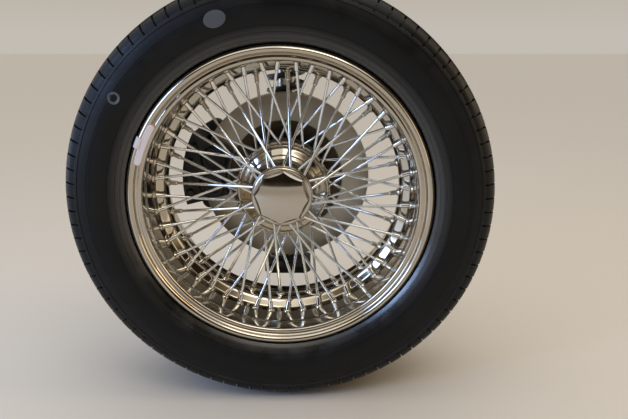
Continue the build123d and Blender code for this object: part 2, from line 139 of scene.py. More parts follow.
def pointing(at: Vector, along: Vector) -> Matrix:
    """A place whose Z axis points along a direction.

    Args:
        at: Where the place is.
        along: Where its Z axis points.

    Returns:
        The matrix that carries the origin there.
    """
    return Matrix.Translation(at) @ along.to_track_quat("Z", "Y").to_matrix().to_4x4()


# Modelling


def verts_in(made: Iterable) -> list[BMVert]:
    """The vertices among what an operator made."""
    return [item for item in made if isinstance(item, BMVert)]


def edges_in(made: Iterable) -> list[BMEdge]:
    """The edges among what an operator made."""
    return [item for item in made if isinstance(item, BMEdge)]


def edges_at(verts: Iterable[BMVert]) -> list[BMEdge]:
    """The edges that meet any of the vertices, each once."""
    return list({edge for vert in verts for edge in vert.link_edges})


def round_off(bm: BMesh, geom: list, width: float, segments: int, affect: str) -> None:
    """Rounds vertices or edges of a mesh.

    Args:
        bm: The mesh.
        geom: The vertices or the edges.
        width: How far off the round begins.
        segments: Steps in the round.
        affect: "VERTICES" or "EDGES".
    """
    bmesh.ops.bevel(
        bm,
        geom=geom,
        offset=width,
        offset_type="OFFSET",
        segments=segments,
        profile=0.5,
        affect=affect,
        material=-1,
    )


def draw_section(
    bm: BMesh, corners: Sequence[Corner], closed: bool = True, segments: int = 4
) -> list[BMVert]:
    """Draws a section in the plane of the axis and rounds its corners.

    Args:
        bm: The mesh that takes the section.
        corners: The section's corners in order.
        closed: Whether the last corner joins the first.
        segments: Steps in each round.

    Returns:
        The section's vertices.
    """
    old = set(bm.verts)
    verts = [bm.verts.new((0.0, corner.radius, corner.out)) for corner in corners]
    followers = verts[1:] + verts[:1] if closed else verts[1:]
    for vert, follower in zip(verts, followers):
        bm.edges.new((vert, follower))
    for rounding in sorted({corner.rounding for corner in corners if corner.rounding}):
        alike = [vert for vert, corner in zip(verts, corners) if corner.rounding == rounding]
        round_off(bm, alike, rounding, segments, "VERTICES")
    return [vert for vert in bm.verts if vert not in old]


def lathe(
    bm: BMesh,
    corners: Sequence[Corner],
    steps: int,
    place: Matrix | None = None,
    closed: bool = True,
    segments: int = 4,
) -> list[BMVert]:
    """Turns a section once about the Z axis and carries it to its place.

    Args:
        bm: The mesh that takes the turned piece.
        corners: The section's corners; those of no radius lie on the axis.
        steps: Facets round the axis.
        place: Where the piece goes, or None to leave it about the origin.
        closed: Whether the section is a closed loop.
        segments: Steps in each round of the section.

    Returns:
        The piece's vertices.
    """
    old = set(bm.verts)
    verts = draw_section(bm, corners, closed, segments)
    bmesh.ops.spin(
        bm, geom=verts + edges_at(verts), cent=ORIGIN, axis=Z, angle=2 * pi, steps=steps, use_merge=True
    )
    bmesh.ops.remove_doubles(bm, verts=[vert for vert in bm.verts if vert not in old], dist=WELD)
    made = [vert for vert in bm.verts if vert not in old]
    if place is not None:
        bmesh.ops.transform(bm, matrix=place, verts=made)
    return made


def repeat_round(bm: BMesh, count: int) -> None:
    """Repeats all that the mesh holds, evenly round the axle.

    Args:
        bm: The mesh, in the wheel's axes.
        count: How many there are in all.
    """
    bmesh.ops.spin(
        bm,
        geom=bm.verts[:] + bm.edges[:] + bm.faces[:],
        cent=ORIGIN,
        axis=Z,
        angle=2 * pi * (count - 1) / count,
        steps=count - 1,
        use_duplicate=True,
    )


def close_ends(bm: BMesh) -> None:
    """Closes every open end of the mesh with one face."""
    bmesh.ops.holes_fill(bm, edges=[edge for edge in bm.edges if edge.is_boundary], sides=0)


@dataclass(frozen=True)
class HexBolt:
    """A hexagon head on its washer: its size across the flats, its height and how it is turned."""

    across: float
    height: float
    turned: float = 0.0
    sunk: float = 1.0
    washer_facets: int = 24

    def add(self, bm: BMesh, at: Vector, along: Vector) -> None:
        """Adds the bolt to a mesh.

        Args:
            bm: The mesh that takes the bolt.
            at: The middle of the washer's seat.
            along: Where the head points.
        """
        washer = self.across / 10
        corner = self.across / 2 / cos(pi / 6)
        place = pointing(at, along)
        seat = [Corner(-self.sunk, corner + washer), Corner(washer, corner + washer, washer / 3)]
        lathe(bm, capped(seat), self.washer_facets, place, segments=2)
        turn = Matrix.Rotation(radians(self.turned), 4, "Z")
        lift = Matrix.Translation((0, 0, washer + self.height / 2))
        head = bmesh.ops.create_cone(
            bm,
            cap_ends=True,
            segments=6,
            radius1=corner,
            radius2=corner,
            depth=self.height,
            matrix=place @ turn @ lift,
        )["verts"]
        flat = [e for e in edges_at(head) if abs((e.verts[0].co - e.verts[1].co).dot(along)) < WELD]
        round_off(bm, flat, self.across / 12, 2, "EDGES")


class Wire:
    """A round wire drawn from one end: it runs straight, bends and runs on."""

    def __init__(self, bm: BMesh, start: Vector, along: Vector, radius: float, sides: int) -> None:
        """Starts the wire.

        Args:
            bm: The mesh that takes the wire.
            start: The middle of its first end.
            along: Where it sets off.
            radius: The wire's radius.
            sides: Facets round the wire.
        """
        self.bm = bm
        self.at = start.copy()
        self.along = along.normalized()
        place = pointing(start, self.along)
        ring = bmesh.ops.create_circle(bm, radius=radius, segments=sides, matrix=place)
        self.edges = edges_at(ring["verts"])

    def run(self, distance: float) -> None:
        """Runs straight on.

        Args:
            distance: How far it runs.
        """
        grown = bmesh.ops.extrude_edge_only(self.bm, edges=self.edges)["geom"]
        step = self.along * distance
        bmesh.ops.translate(self.bm, vec=step, verts=verts_in(grown))
        self.edges = edges_in(grown)
        self.at += step

    def sweep(self, centre: Vector, axis: Vector, angle: float, steps: int, rise: float = 0.0) -> None:
        """Sweeps the wire's end about an axis.

        Args:
            centre: A point on the axis.
            axis: The axis's direction.
            angle: How far it sweeps, in radians.
            steps: Steps in the sweep.
            rise: How far up it climbs on the way.
        """
        verts = list({vert for edge in self.edges for vert in edge.verts})
        last = bmesh.ops.spin(
            self.bm,
            geom=verts + self.edges,
            cent=centre,
            axis=axis,
            dvec=(0, 0, rise / steps),
            angle=angle,
            steps=steps,
        )["geom_last"]
        self.edges = edges_in(last)

    def bend(self, towards: Vector, radius: float, steps: int) -> None:
        """Bends to a new direction.

        Args:
            towards: The direction to leave in.
            radius: Radius of the bend.
            steps: Steps in the bend.
        """
        towards = towards.normalized()
        axis = self.along.cross(towards)
        angle = self.along.angle(towards)
        inward = axis.normalized().cross(self.along)
        centre = self.at + inward * radius
        self.sweep(centre, axis, angle, steps)
        self.at = centre + Matrix.Rotation(angle, 3, axis) @ (self.at - centre)
        self.along = towards

    def coil(self, turns: float, rise: float, steps_a_turn: int) -> None:
        """Coils about the Z axis.

        Args:
            turns: How many turns.
            rise: Climb of the whole coil.
            steps_a_turn: Steps in each turn.
        """
        self.sweep(ORIGIN, Z, 2 * pi * turns, round(turns * steps_a_turn), rise)


# Finishes


def linear(hex_colour: str) -> tuple[float, float, float, float]:
    """Turns an sRGB hex colour to the linear one that a shader takes.

    Args:
        hex_colour: The colour as "#rrggbb".

    Returns:
        Red, green, blue and full alpha.
    """
    parts = [int(hex_colour[i : i + 2], 16) / 255 for i in (1, 3, 5)]
    return tuple(c / 12.92 if c <= 0.04045 else ((c + 0.055) / 1.055) ** 2.4 for c in parts) + (1.0,)


def add_node(
    tree: NodeTree, kind: str, inputs: dict[str | int, object] | None = None, **settings: object
) -> Node:
    """Adds a node with its settings and links.

    Args:
        tree: The node tree.
        kind: The node's type.
        inputs: Values or sockets for its inputs, by name or number.
        settings: The node's own settings.

    Returns:
        The node.
    """
    node = tree.nodes.new(kind)
    for name, value in settings.items():
        setattr(node, name, value)
    for socket, value in (inputs or {}).items():
        if isinstance(value, NodeSocket):
            tree.links.new(value, node.inputs[socket])
        else:
            node.inputs[socket].default_value = value
    return node


def cloud(tree: NodeTree, size: float, detail: float = 3.0) -> NodeSocket:
    """Cloudy grain over the piece, fixed to its own coordinates.

    Args:
        tree: The node tree.
        size: The grain's size in millimetres.
        detail: How much finer grain lies on it.

    Returns:
        The grain's socket, from 0 to 1.
    """
    inputs = {
        "Vector": add_node(tree, "ShaderNodeTexCoord").outputs["Object"],
        "Scale": 1 / (size * MM),
        "Detail": detail,
    }
    return add_node(tree, "ShaderNodeTexNoise", inputs).outputs[0]


def patches(
    tree: NodeTree,
    size: float,
    low: float,
    high: float,
    detail: float = 3.0,
    edge: tuple[float, float] = (0.4, 0.65),
) -> NodeSocket:
    """A value that rises in soft-edged patches, where the cloudy grain is strong.

    Args:
        tree: The node tree.
        size: The patches' size in millimetres.
        low: The value between the patches.
        high: The value in them.
        detail: How much finer grain lies on their edges.
        edge: The grain at which a patch begins, and at which it is full.

    Returns:
        The value's socket.
    """
    inputs = {
        "Value": cloud(tree, size, detail),
        "From Min": edge[0],
        "From Max": edge[1],
        "To Min": low,
        "To Max": high,
    }
    return add_node(tree, "ShaderNodeMapRange", inputs).outputs[0]


def raise_grain(tree: NodeTree, shader: Node, size: float, depth: float, detail: float = 3.0) -> None:
    """Raises the surface in a cloudy grain.

    Args:
        tree: The node tree.
        shader: The material's shader.
        size: The grain's size in millimetres.
        depth: How high it stands, in millimetres.
        detail: How much finer grain lies on it.
    """
    inputs = {"Height": cloud(tree, size, detail), "Distance": depth * MM, "Strength": 1.0}
    bump = add_node(tree, "ShaderNodeBump", inputs)
    tree.links.new(bump.outputs[0], shader.inputs["Normal"])


def from_axle(tree: NodeTree) -> NodeSocket:
    """How far the shaded point is from the axle.

    Args:
        tree: The node tree.

    Returns:
        The distance's socket, in metres.
    """
    spot = add_node(tree, "ShaderNodeTexCoord").outputs["Object"]
    centre = wheel_frame().translation
    offset = add_node(tree, "ShaderNodeVectorMath", {0: spot, 1: centre}, operation="SUBTRACT").outputs[0]
    flat = add_node(tree, "ShaderNodeVectorMath", {0: offset, 1: (1, 0, 1)}, operation="MULTIPLY").outputs[0]
    return add_node(tree, "ShaderNodeVectorMath", {0: flat}, operation="LENGTH").outputs["Value"]


def by_radius(tree: NodeTree, start: float, end: float, low: float, high: float) -> NodeSocket:
    """A value that changes between two radii of the wheel.

    Args:
        tree: The node tree.
        start: The radius where it begins to change, in millimetres.
        end: The radius where it has changed.
        low: The value inside the first radius.
        high: The value outside the second.

    Returns:
        The value's socket.
    """
    inputs = {
        "Value": from_axle(tree),
        "From Min": start * MM,
        "From Max": end * MM,
        "To Min": low,
        "To Max": high,
    }
    return add_node(tree, "ShaderNodeMapRange", inputs).outputs[0]


@dataclass(frozen=True)
class Finish:
    """A surface as it was made: its colour, roughness and how much of a metal it is."""

    name: str
    colour: str
    roughness: float
    metallic: float = 0.0

    def material(self) -> Material:
        """Makes the finish's material once, and then shares it.

        Returns:
            The material.
        """
        made = bpy.data.materials.get(self.name)
        if made is None:
            made = bpy.data.materials.new(self.name)
            made.use_nodes = True
            shader = made.node_tree.nodes["Principled BSDF"]
            shader.inputs["Base Color"].default_value = linear(self.colour)
            shader.inputs["Roughness"].default_value = self.roughness
            shader.inputs["Metallic"].default_value = self.metallic
            self.work(made.node_tree, shader)
        return made

    def roughen(self, tree: NodeTree, shader: Node, size: float, more: float) -> None:
        """Lets the roughness rise in patches of a size in millimetres."""
        rough = patches(tree, size, self.roughness, self.roughness + more)
        tree.links.new(rough, shader.inputs["Roughness"])

    def work(self, tree: NodeTree, shader: Node) -> None:
        """Adds the marks of how the surface was made, where it has any."""


@dataclass(frozen=True)
class ChromePlate(Finish):
    """Bright chrome on polished steel: a mirror with a thin bloom of dust in patches."""

    bloom: float = 0.06
    patch: float = 14.0

    def work(self, tree: NodeTree, shader: Node) -> None:
        """Dulls the mirror in patches of dust."""
        self.roughen(tree, shader, self.patch, self.bloom)


@dataclass(frozen=True)
class MouldedRubber(Finish):
    """Moulded tyre rubber: black, shiniest by the rim, greyed by dust and by wear on the tread."""

    dust: str = "#141414"
    dust_patch: float = 45.0
    dust_detail: float = 5.0
    dust_edge: tuple[float, float] = (0.45, 0.75)
    dust_most: float = 0.45
    wear_most: float = 0.4
    tread_from: float = 300.0
    tread_to: float = 315.0
    sheen: float = 0.22
    bead_sheen: float = 1.0
    bead_roughness: float = 0.2
    bead_from: float = 226.0
    bead_to: float = 246.0
    haze: float = 0.14
    haze_patch: float = 30.0
    skin: float = 0.5
    skin_depth: float = 0.05

    def work(self, tree: NodeTree, shader: Node) -> None:
        """Greys the rubber with dust and wear, and brings up its gloss towards the rim.

        Args:
            tree: The material's nodes.
            shader: Its shader.
        """
        dusty = patches(tree, self.dust_patch, 0.0, self.dust_most, self.dust_detail, self.dust_edge)
        worn = by_radius(tree, self.tread_from, self.tread_to, 0.0, self.wear_most)
        grey = add_node(tree, "ShaderNodeMath", {0: dusty, 1: worn}, operation="MAXIMUM").outputs[0]
        colours = {0: grey, 6: linear(self.colour), 7: linear(self.dust)}
        mix = add_node(tree, "ShaderNodeMix", colours, data_type="RGBA")
        tree.links.new(mix.outputs[2], shader.inputs["Base Color"])
        sheen = by_radius(tree, self.bead_from, self.bead_to, self.bead_sheen, self.sheen)
        tree.links.new(sheen, shader.inputs["Specular IOR Level"])
        gloss = by_radius(tree, self.bead_from, self.bead_to, self.bead_roughness, self.roughness)
        haze = patches(tree, self.haze_patch, 0.0, self.haze)
        rough = add_node(tree, "ShaderNodeMath", {0: gloss, 1: haze}, operation="ADD").outputs[0]
        tree.links.new(rough, shader.inputs["Roughness"])
        raise_grain(tree, shader, self.skin, self.skin_depth)


@dataclass(frozen=True)
class TurnedIron(Finish):
    """Turned cast iron with a worn brake face: fine rings, tan where the pads run, duller inside."""

    hub_colour: str = "#4f463b"
    swept_from: float = 98.0
    edge: float = 3.0
    ring: float = 1.6
    ring_detail: float = 4.0
    ring_edge: tuple[float, float] = (0.3, 0.7)
    ring_haze: float = 0.15
    ring_depth: float = 0.08

    def work(self, tree: NodeTree, shader: Node) -> None:
        """Turns rings a millimetre and more apart, coarser than real ones so that they show.

        Args:
            tree: The material's nodes.
            shader: Its shader.
        """
        inputs = {"W": from_axle(tree), "Scale": 1 / (self.ring * MM), "Detail": self.ring_detail}
        rings = add_node(tree, "ShaderNodeTexNoise", inputs, noise_dimensions="1D").outputs[0]
        inside = by_radius(tree, self.swept_from - self.edge, self.swept_from, 1.0, 0.0)
        colours = {0: inside, 6: linear(self.colour), 7: linear(self.hub_colour)}
        mix = add_node(tree, "ShaderNodeMix", colours, data_type="RGBA")
        tree.links.new(mix.outputs[2], shader.inputs["Base Color"])
        span = {
            "Value": rings,
            "From Min": self.ring_edge[0],
            "From Max": self.ring_edge[1],
            "To Min": self.roughness,
            "To Max": self.roughness + self.ring_haze,
        }
        rough = add_node(tree, "ShaderNodeMapRange", span)
        tree.links.new(rough.outputs[0], shader.inputs["Roughness"])
        height = {"Height": rings, "Distance": self.ring_depth * MM, "Strength": 1.0}
        bump = add_node(tree, "ShaderNodeBump", height)
        tree.links.new(bump.outputs[0], shader.inputs["Normal"])


@dataclass(frozen=True)
class MachinedSteel(Finish):
    """Machined or ground steel: dull silver, a little uneven from oil."""

    patch: float = 9.0
    more: float = 0.15
    skin: float = 0.6
    skin_depth: float = 0.02

    def work(self, tree: NodeTree, shader: Node) -> None:
        """Adds oil patches and a fine grain."""
        self.roughen(tree, shader, self.patch, self.more)
        raise_grain(tree, shader, self.skin, self.skin_depth)


@dataclass(frozen=True)
class PaintedCasting(Finish):
    """Gloss paint over a sand casting or forging: dark, with the mould's skin under it."""

    skin: float = 2.2
    skin_depth: float = 0.18
    skin_detail: float = 4.0
    patch: float = 16.0
    more: float = 0.22

    def work(self, tree: NodeTree, shader: Node) -> None:
        """Raises the casting's skin, under gloss that varies with dust."""
        self.roughen(tree, shader, self.patch, self.more)
        raise_grain(tree, shader, self.skin, self.skin_depth, self.skin_detail)


@dataclass(frozen=True)
class PressedLining(Finish):
    """Pressed friction lining: matt dark brown with bright metal specks."""

    speck: str = "#8b8175"
    speck_size: float = 0.9
    speck_detail: float = 2.0
    speck_edge: tuple[float, float] = (0.6, 0.68)
    speck_depth: float = 0.1

    def work(self, tree: NodeTree, shader: Node) -> None:
        """Scatters specks under a millimetre across.

        Args:
            tree: The material's nodes.
            shader: Its shader.
        """
        specks = patches(tree, self.speck_size, 0.0, 1.0, self.speck_detail, self.speck_edge)
        colours = {0: specks, 6: linear(self.colour), 7: linear(self.speck)}
        mix = add_node(tree, "ShaderNodeMix", colours, data_type="RGBA")
        tree.links.new(mix.outputs[2], shader.inputs["Base Color"])
        raise_grain(tree, shader, self.speck_size, self.speck_depth, self.speck_detail)


# Chrome mirrors the room, and its colours carry painted reflection: a warm tan on the rim, the nut and most
# of all the hub stands in for a reflected brown ground, and a pale cool silver, brighter than chrome
# reflects, on the drawn wire and the nipples
RIM_CHROME = ChromePlate("chrome_plate_rolled_rim", "#bbb3a5", 0.05, 1.0)
SPOKE_CHROME = ChromePlate("chrome_plate_drawn_wire", "#dfe3e6", 0.08, 1.0)
NIPPLE_CHROME = ChromePlate("chrome_plate_turned_nipple", "#d8d8d4", 0.07, 1.0)
HUB_CHROME = ChromePlate("chrome_plate_hub", "#aca598", 0.06, 1.0)
NUT_CHROME = ChromePlate("chrome_plate_forged_nut", "#bdb7ad", 0.05, 1.0)
# Rubber is nearly black, and the sidewall's pads are a blue-grey and a little smoother
RUBBER = MouldedRubber("moulded_tyre_rubber", "#0a0b0c", 0.36)
MARK_RUBBER = MouldedRubber("smooth_tyre_rubber", "#464a50", 0.3, dust="#4e5156", sheen=0.5)
# Bare metals are duller than chrome, and the brake's iron is tan from its pads
DISC_IRON = TurnedIron("turned_cast_iron", "#bdb6a8", 0.3, 1.0)
ADAPTOR_STEEL = MachinedSteel("machined_steel", "#8d8880", 0.3, 1.0)
PILLAR_STEEL = MachinedSteel("ground_steel", "#a6a39d", 0.18, 1.0)
BOLT_ZINC = MachinedSteel("zinc_plated_steel", "#b4b0a6", 0.28, 1.0, patch=4.0, more=0.2)
WEIGHT_ZINC = MachinedSteel("coated_zinc", "#d6cccb", 0.4, 0.15)
# Paint is near black, glossiest on the springs, and the lining is matt
SPRING_BLACK = PaintedCasting("stove_enamelled_spring_wire", "#10131c", 0.2, skin=5.0, skin_depth=0.05)
FORGING_BLACK = PaintedCasting("painted_forging", "#17181b", 0.36)
CALIPER_PAINT = PaintedCasting("painted_iron_casting", "#11141c", 0.3)
LINING = PressedLining("pressed_friction_lining", "#3b352f", 0.85)


def finished(
    bm: BMesh,
    name: str,
    finish: Finish,
    body: Body,
    place: Matrix,
    replaces: Sequence[str] = (),
    sharp: float = SHARP,
) -> Object:
    """Makes a mesh a piece of the object: welded, placed, smoothed, dressed and riding on its body.

    Args:
        bm: The mesh in millimetres, which is freed.
        name: The piece's name.
        finish: What it is finished in.
        body: The body it rides on.
        place: Carries it to the part's frame.
        replaces: The plain solids that it stands for.
        sharp: Edges sharper than this many degrees stay sharp.

    Returns:
        The piece's object.
    """
    bmesh.ops.remove_doubles(bm, verts=bm.verts, dist=WELD)
    bmesh.ops.recalc_face_normals(bm, faces=bm.faces)
    bmesh.ops.transform(bm, matrix=place, verts=bm.verts)
    mesh = bpy.data.meshes.new(name)
    bm.to_mesh(mesh)
    bm.free()
    mesh.shade_smooth()
    mesh.set_sharp_from_angle(angle=radians(sharp))
    mesh.materials.append(finish.material())
    piece = bpy.data.objects.new(name, mesh)
    bpy.context.scene.collection.objects.link(piece)
    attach(piece, body.value)
    if replaces:
        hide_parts(*replaces)
    log.info("%s: %d faces", name, len(mesh.polygons))
    return piece


def wheel_piece(
    bm: BMesh, name: str, finish: Finish, replaces: Sequence[str] = (), sharp: float = SHARP
) -> Object:
    """Finishes a piece that turns with the wheel.

    Args:
        bm: The mesh in the wheel's axes, which is freed.
        name: The piece's name.
        finish: What it is finished in.
        replaces: The plain solids that it stands for.
        sharp: Edges sharper than this many degrees stay sharp.

    Returns:
        The piece's object.
    """
    return finished(bm, name, finish, Body.WHEEL, wheel_frame(), replaces, sharp)


def round_edges(piece: Object, width: float, segments: int = 3, angle: float = 40.0) -> None:
    """Rounds a piece's sharp edges.

    Args:
        piece: The piece.
        width: Width of the round, in millimetres.
        segments: Steps in the round.
        angle: Edges sharper than this many degrees are rounded.
    """
    bevel = piece.modifiers.new("rounded edges", "BEVEL")
    bevel.width = width * MM
    bevel.segments = segments
    bevel.limit_method = "ANGLE"
    bevel.angle_limit = radians(angle)
    bevel.harden_normals = True


def give_wall(piece: Object, thickness: float, even: bool = False) -> None:
    """Gives a sheet its thickness, half to each side.

    Args:
        piece: The sheet.
        thickness: Its thickness, in millimetres.
        even: Whether the wall keeps its thickness round tight curls.
    """
    wall = piece.modifiers.new("wall", "SOLIDIFY")
    wall.thickness = thickness * MM
    wall.offset = 0.0
    wall.use_even_offset = even


def softened(node: str, name: str, finish: Finish, body: Body, width: float) -> Object:
    """A copy of a plain solid with its edges rounded, as a casting's or a forging's are.

    Args:
        node: The solid's node.
        name: The piece's name.
        finish: What it is finished in.
        body: The body it rides on.
        width: Width of the rounds, in millimetres.

    Returns:
        The piece's object.
    """
    bm = bmesh.new()
    bm.from_mesh(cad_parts[node].data)
    bmesh.ops.transform(bm, matrix=Matrix.Scale(1 / MM, 4), verts=bm.verts)
    bmesh.ops.remove_doubles(bm, verts=bm.verts, dist=WELD)
    bmesh.ops.dissolve_limit(bm, angle_limit=radians(FLAT), verts=bm.verts[:], edges=bm.edges[:])
    piece = finished(bm, name, finish, body, part_frame(), [node])
    round_edges(piece, width)
    return piece


# The wheel


@dataclass(frozen=True)
class Mark:
    """A plain pad on the tyre's sidewall: its place, its half sizes and how far its middle stands out."""

    radius: float
    angle: float
    half_length: float
    half_height: float
    middle: float
    root: float = 1.5
    rise: float = 0.35
    rounds: tuple[float, float] = (0.04, 0.03)
    edge: float = 0.8
    core: float = 0.35
    core_share: float = 0.8
    facets: int = 40

    def section(self) -> list[Corner]:
        """The pad's section, drawn a millimetre in radius and then stretched.

        Returns:
            The corners, from the buried root to the middle of the face.
        """
        return [
            Corner(-self.root, 0),
            Corner(-self.root, 1.0),
            Corner(self.rise, 1.0, self.rounds[0]),
            Corner(self.rise, self.edge, self.rounds[1]),
            Corner(self.rise + self.core_share * self.middle, self.core),
            Corner(self.rise + self.middle, 0),
        ]

    def add(self, bm: BMesh, level: float, lean: float) -> None:
        """Sets the pad on the sidewall.

        Args:
            bm: The mesh that takes the pad.
            level: How far out the sidewall is there.
            lean: How much further out it is a millimetre further from the axle.
        """
        normal = (on_wheel(-lean, self.angle, 0) + Z).normalized()
        pad = lathe(bm, self.section(), self.facets, segments=2)
        bmesh.ops.scale(bm, vec=(self.half_length, self.half_height, 1.0), verts=pad)
        up = on_wheel(1, self.angle, 0)
        up = (up - normal * up.dot(normal)).normalized()
        turned = Matrix((up.cross(normal), up, normal)).transposed().to_4x4()
        place = Matrix.Translation(on_wheel(self.radius, self.angle, level))
        bmesh.ops.transform(bm, matrix=place @ turned, verts=pad)


@dataclass(frozen=True)
class Tyre:
    """The tyre: four grooves, slit shoulders, sipes across the ribs, and a ribbed smooth sidewall."""

    radius: float = 316.0
    half_width: float = 103.4
    tread_half: float = 82.0
    crown_station: float = 71.0
    crown_drop: float = 7.0
    grooves: Profile = ((26.0, 10.0, 7.0), (56.0, 4.0, 5.0))
    groove_slope: float = 2.0
    shoulder_out: float = 97.0
    shoulder_radius: float = 296.0
    shoulder_round: float = 19.0
    shoulder_turn: float = 83.0
    shoulder_steps: int = 6
    bulge_radius: float = 262.0
    foot_out: float = 88.0
    foot_radius: float = 223.8
    foot_step: float = 2.5
    bead_out: float = 82.3
    bead_radius: float = 203.0
    bead_width: float = 15.0
    wall: float = 9.0
    tread_thickness: float = 13.0
    levels: tuple[float, ...] = (283.0, 278.5, 266.0, 262.0, 257.0, 251.5, 241.0, 233.0, 226.5)
    ribs: Profile = (
        (288.5, 3.0, 0.9),
        (274.0, 1.2, 0.4),
        (270.5, 0.8, 0.3),
        (246.0, 1.2, 0.4),
        (236.5, 2.4, 0.9),
        (229.5, 1.4, 0.4),
    )
    rib_section: tuple[tuple[float, float], ...] = ((0.5, 0.0), (0.3, 1.0), (-0.3, 1.0), (-0.5, 0.0))
    pitches: int = 92
    block_steps: int = 2
    slit_width: float = 3.0
    sipe_width: float = 1.1
    slit_from: float = 62.0
    slit_end_radius: float = 291.5
    slit_depth: float = 4.5
    sipe_depth: float = 3.5
    heart_depth: float = 10.0
    skin: float = 1.0
    slant: float = 1.5
    marks: tuple[Mark, ...] = (
        Mark(radius=268.4, angle=304.3, half_length=8.5, half_height=8.5, middle=-1.2),
        Mark(radius=266.0, angle=342.1, half_length=15.0, half_height=11.0, middle=0.2),
    )

    def crown(self, out: float) -> float:
        """The tread's radius at a distance from the centre plane."""
        return self.radius - self.crown_drop * (out / self.tread_half) ** 2

    def sidewall(self, radius: float) -> float:
        """The sidewall's arc, which passes through the shoulder, the bulge and the foot.

        Args:
            radius: Distance from the axle.

        Returns:
            How far out the arc is there.
        """
        (x1, y1), (x2, y2), (x3, y3) = (
            (self.shoulder_out, self.shoulder_radius),
            (self.half_width, self.bulge_radius),
            (self.foot_out, self.foot_radius),
        )
        twice_area = 2 * (x1 * (y2 - y3) + x2 * (y3 - y1) + x3 * (y1 - y2))
        s1, s2, s3 = x1**2 + y1**2, x2**2 + y2**2, x3**2 + y3**2
        middle_out = (s1 * (y2 - y3) + s2 * (y3 - y1) + s3 * (y1 - y2)) / twice_area
        middle_radius = (s1 * (x3 - x2) + s2 * (x1 - x3) + s3 * (x2 - x1)) / twice_area
        bow = sqrt((x1 - middle_out) ** 2 + (y1 - middle_radius) ** 2)
        return middle_out + sqrt(bow**2 - (radius - middle_radius) ** 2)

    def tread_corners(self) -> list[Corner]:
        """The tread's grooves and its rounded shoulder.

        Returns:
            The corners, from the tread's centre to the shoulder's end.
        """
        corners = [Corner(0, self.crown(0))]
        for middle, width, depth in self.grooves:
            inner, outer = middle - width / 2, middle + width / 2
            slope = min(self.groove_slope, width / 3)
            corners += [
                Corner(inner, self.crown(inner)),
                Corner(inner + slope, self.crown(inner) - depth),
                Corner(outer - slope, self.crown(outer) - depth),
                Corner(outer, self.crown(outer)),
            ]
        corners += [Corner(out, self.crown(out)) for out in (self.slit_from, self.crown_station)]
        lean = asin(2 * self.crown_drop / self.tread_half)
        for step in range(self.shoulder_steps + 1):
            turned = lean + step / self.shoulder_steps * (radians(self.shoulder_turn) - lean)
            out = self.tread_half + self.shoulder_round * (sin(turned) - sin(lean))
            drop = self.shoulder_round * (cos(lean) - cos(turned))
            corners.append(Corner(out, self.crown(self.tread_half) - drop))
        return corners

    def sidewall_corners(self) -> list[Corner]:
        """The sidewall with its ribs.

        Returns:
            The corners, from the slits' end down to the foot.
        """
        stations = [(level, self.sidewall(level)) for level in (self.slit_end_radius, *self.levels)]
        for radius, width, height in self.ribs:
            for shift, lift in self.rib_section:
                level = radius + shift * width
                stations.append((level, self.sidewall(level) + lift * height))
        return [Corner(out, level) for level, out in sorted(stations, reverse=True)]

    def half_section(self) -> list[Corner]:
        """The outboard half of the section.

        Returns:
            The corners, from the tread's centre round to the carcass's centre.
        """
        return [
            *self.tread_corners(),
            *self.sidewall_corners(),
            Corner(self.foot_out, self.foot_radius),
            Corner(self.bead_out, self.foot_radius - self.foot_step),
            Corner(self.bead_out, self.bead_radius),
            Corner(self.bead_out - self.bead_width, self.bead_radius),
            Corner(self.half_width - self.wall, self.bulge_radius),
            Corner(self.tread_half, self.crown(self.tread_half) - self.tread_thickness),
            Corner(0, self.radius - self.tread_thickness),
        ]

    def is_shoulder(self, face: BMFace) -> bool:
        """Whether a face lies where the shoulder's slits run."""
        middle = face.calc_center_median()
        return abs(middle.z) > self.slit_from and middle.xy.length > self.slit_end_radius

    def is_rib(self, face: BMFace) -> bool:
        """Whether a face lies on top of a rib between the grooves."""
        middle = face.calc_center_median()
        return abs(middle.z) < self.grooves[1][0] and middle.xy.length > self.crown(middle.z) - self.skin

    def cut_in(self, bm: BMesh, faces: list[BMFace], depth: float) -> None:
        """Sinks faces of the tread towards the carcass's middle.

        Args:
            bm: The mesh.
            faces: The faces.
            depth: How deep they go.
        """
        grown = bmesh.ops.extrude_face_region(bm, geom=faces)["geom"]
        bmesh.ops.delete(bm, geom=faces, context="FACES")
        for vert in verts_in(grown):
            inward = (self.shoulder_radius - self.heart_depth) / vert.co.xy.length
            heart = Vector((vert.co.x, vert.co.y, 0)) * inward
            heart.z = max(-self.slit_from, min(self.slit_from, vert.co.z))
            vert.co += (heart - vert.co).normalized() * depth

    def build(self) -> None:
        """Builds one pitch of the tyre, slits and sipes it, and repeats it round the axle."""
        half = self.half_section()
        mirrored = [Corner(-corner.out, corner.radius) for corner in reversed(half[1:-1])]
        bm = bmesh.new()
        for vert in draw_section(bm, half + mirrored):
            turned = radians(self.slant) * max(-1.0, min(1.0, vert.co.z / self.shoulder_out))
            vert.co = Matrix.Rotation(turned, 3, "Z") @ vert.co
        pitch = 2 * pi / self.pitches
        slit, sipe = self.slit_width / self.radius, self.sipe_width / self.radius
        block = (pitch - slit - sipe) / 2
        last = bm.verts[:] + bm.edges[:]
        columns = []
        for width, steps in ((slit, 1), (block, self.block_steps), (sipe, 1), (block, self.block_steps)):
            old = set(bm.faces)
            last = bmesh.ops.spin(bm, geom=last, cent=ORIGIN, axis=Z, angle=width, steps=steps)["geom_last"]
            columns.append([face for face in bm.faces if face not in old])
        slits, _, sipes, _ = columns
        self.cut_in(bm, [face for face in slits if self.is_shoulder(face)], self.slit_depth)
        self.cut_in(bm, [face for face in sipes if self.is_rib(face)], self.sipe_depth)
        repeat_round(bm, self.pitches)
        wheel_piece(bm, "tyre_moulded", RUBBER, ["tyre"], sharp=28.0)
        self.build_marks()

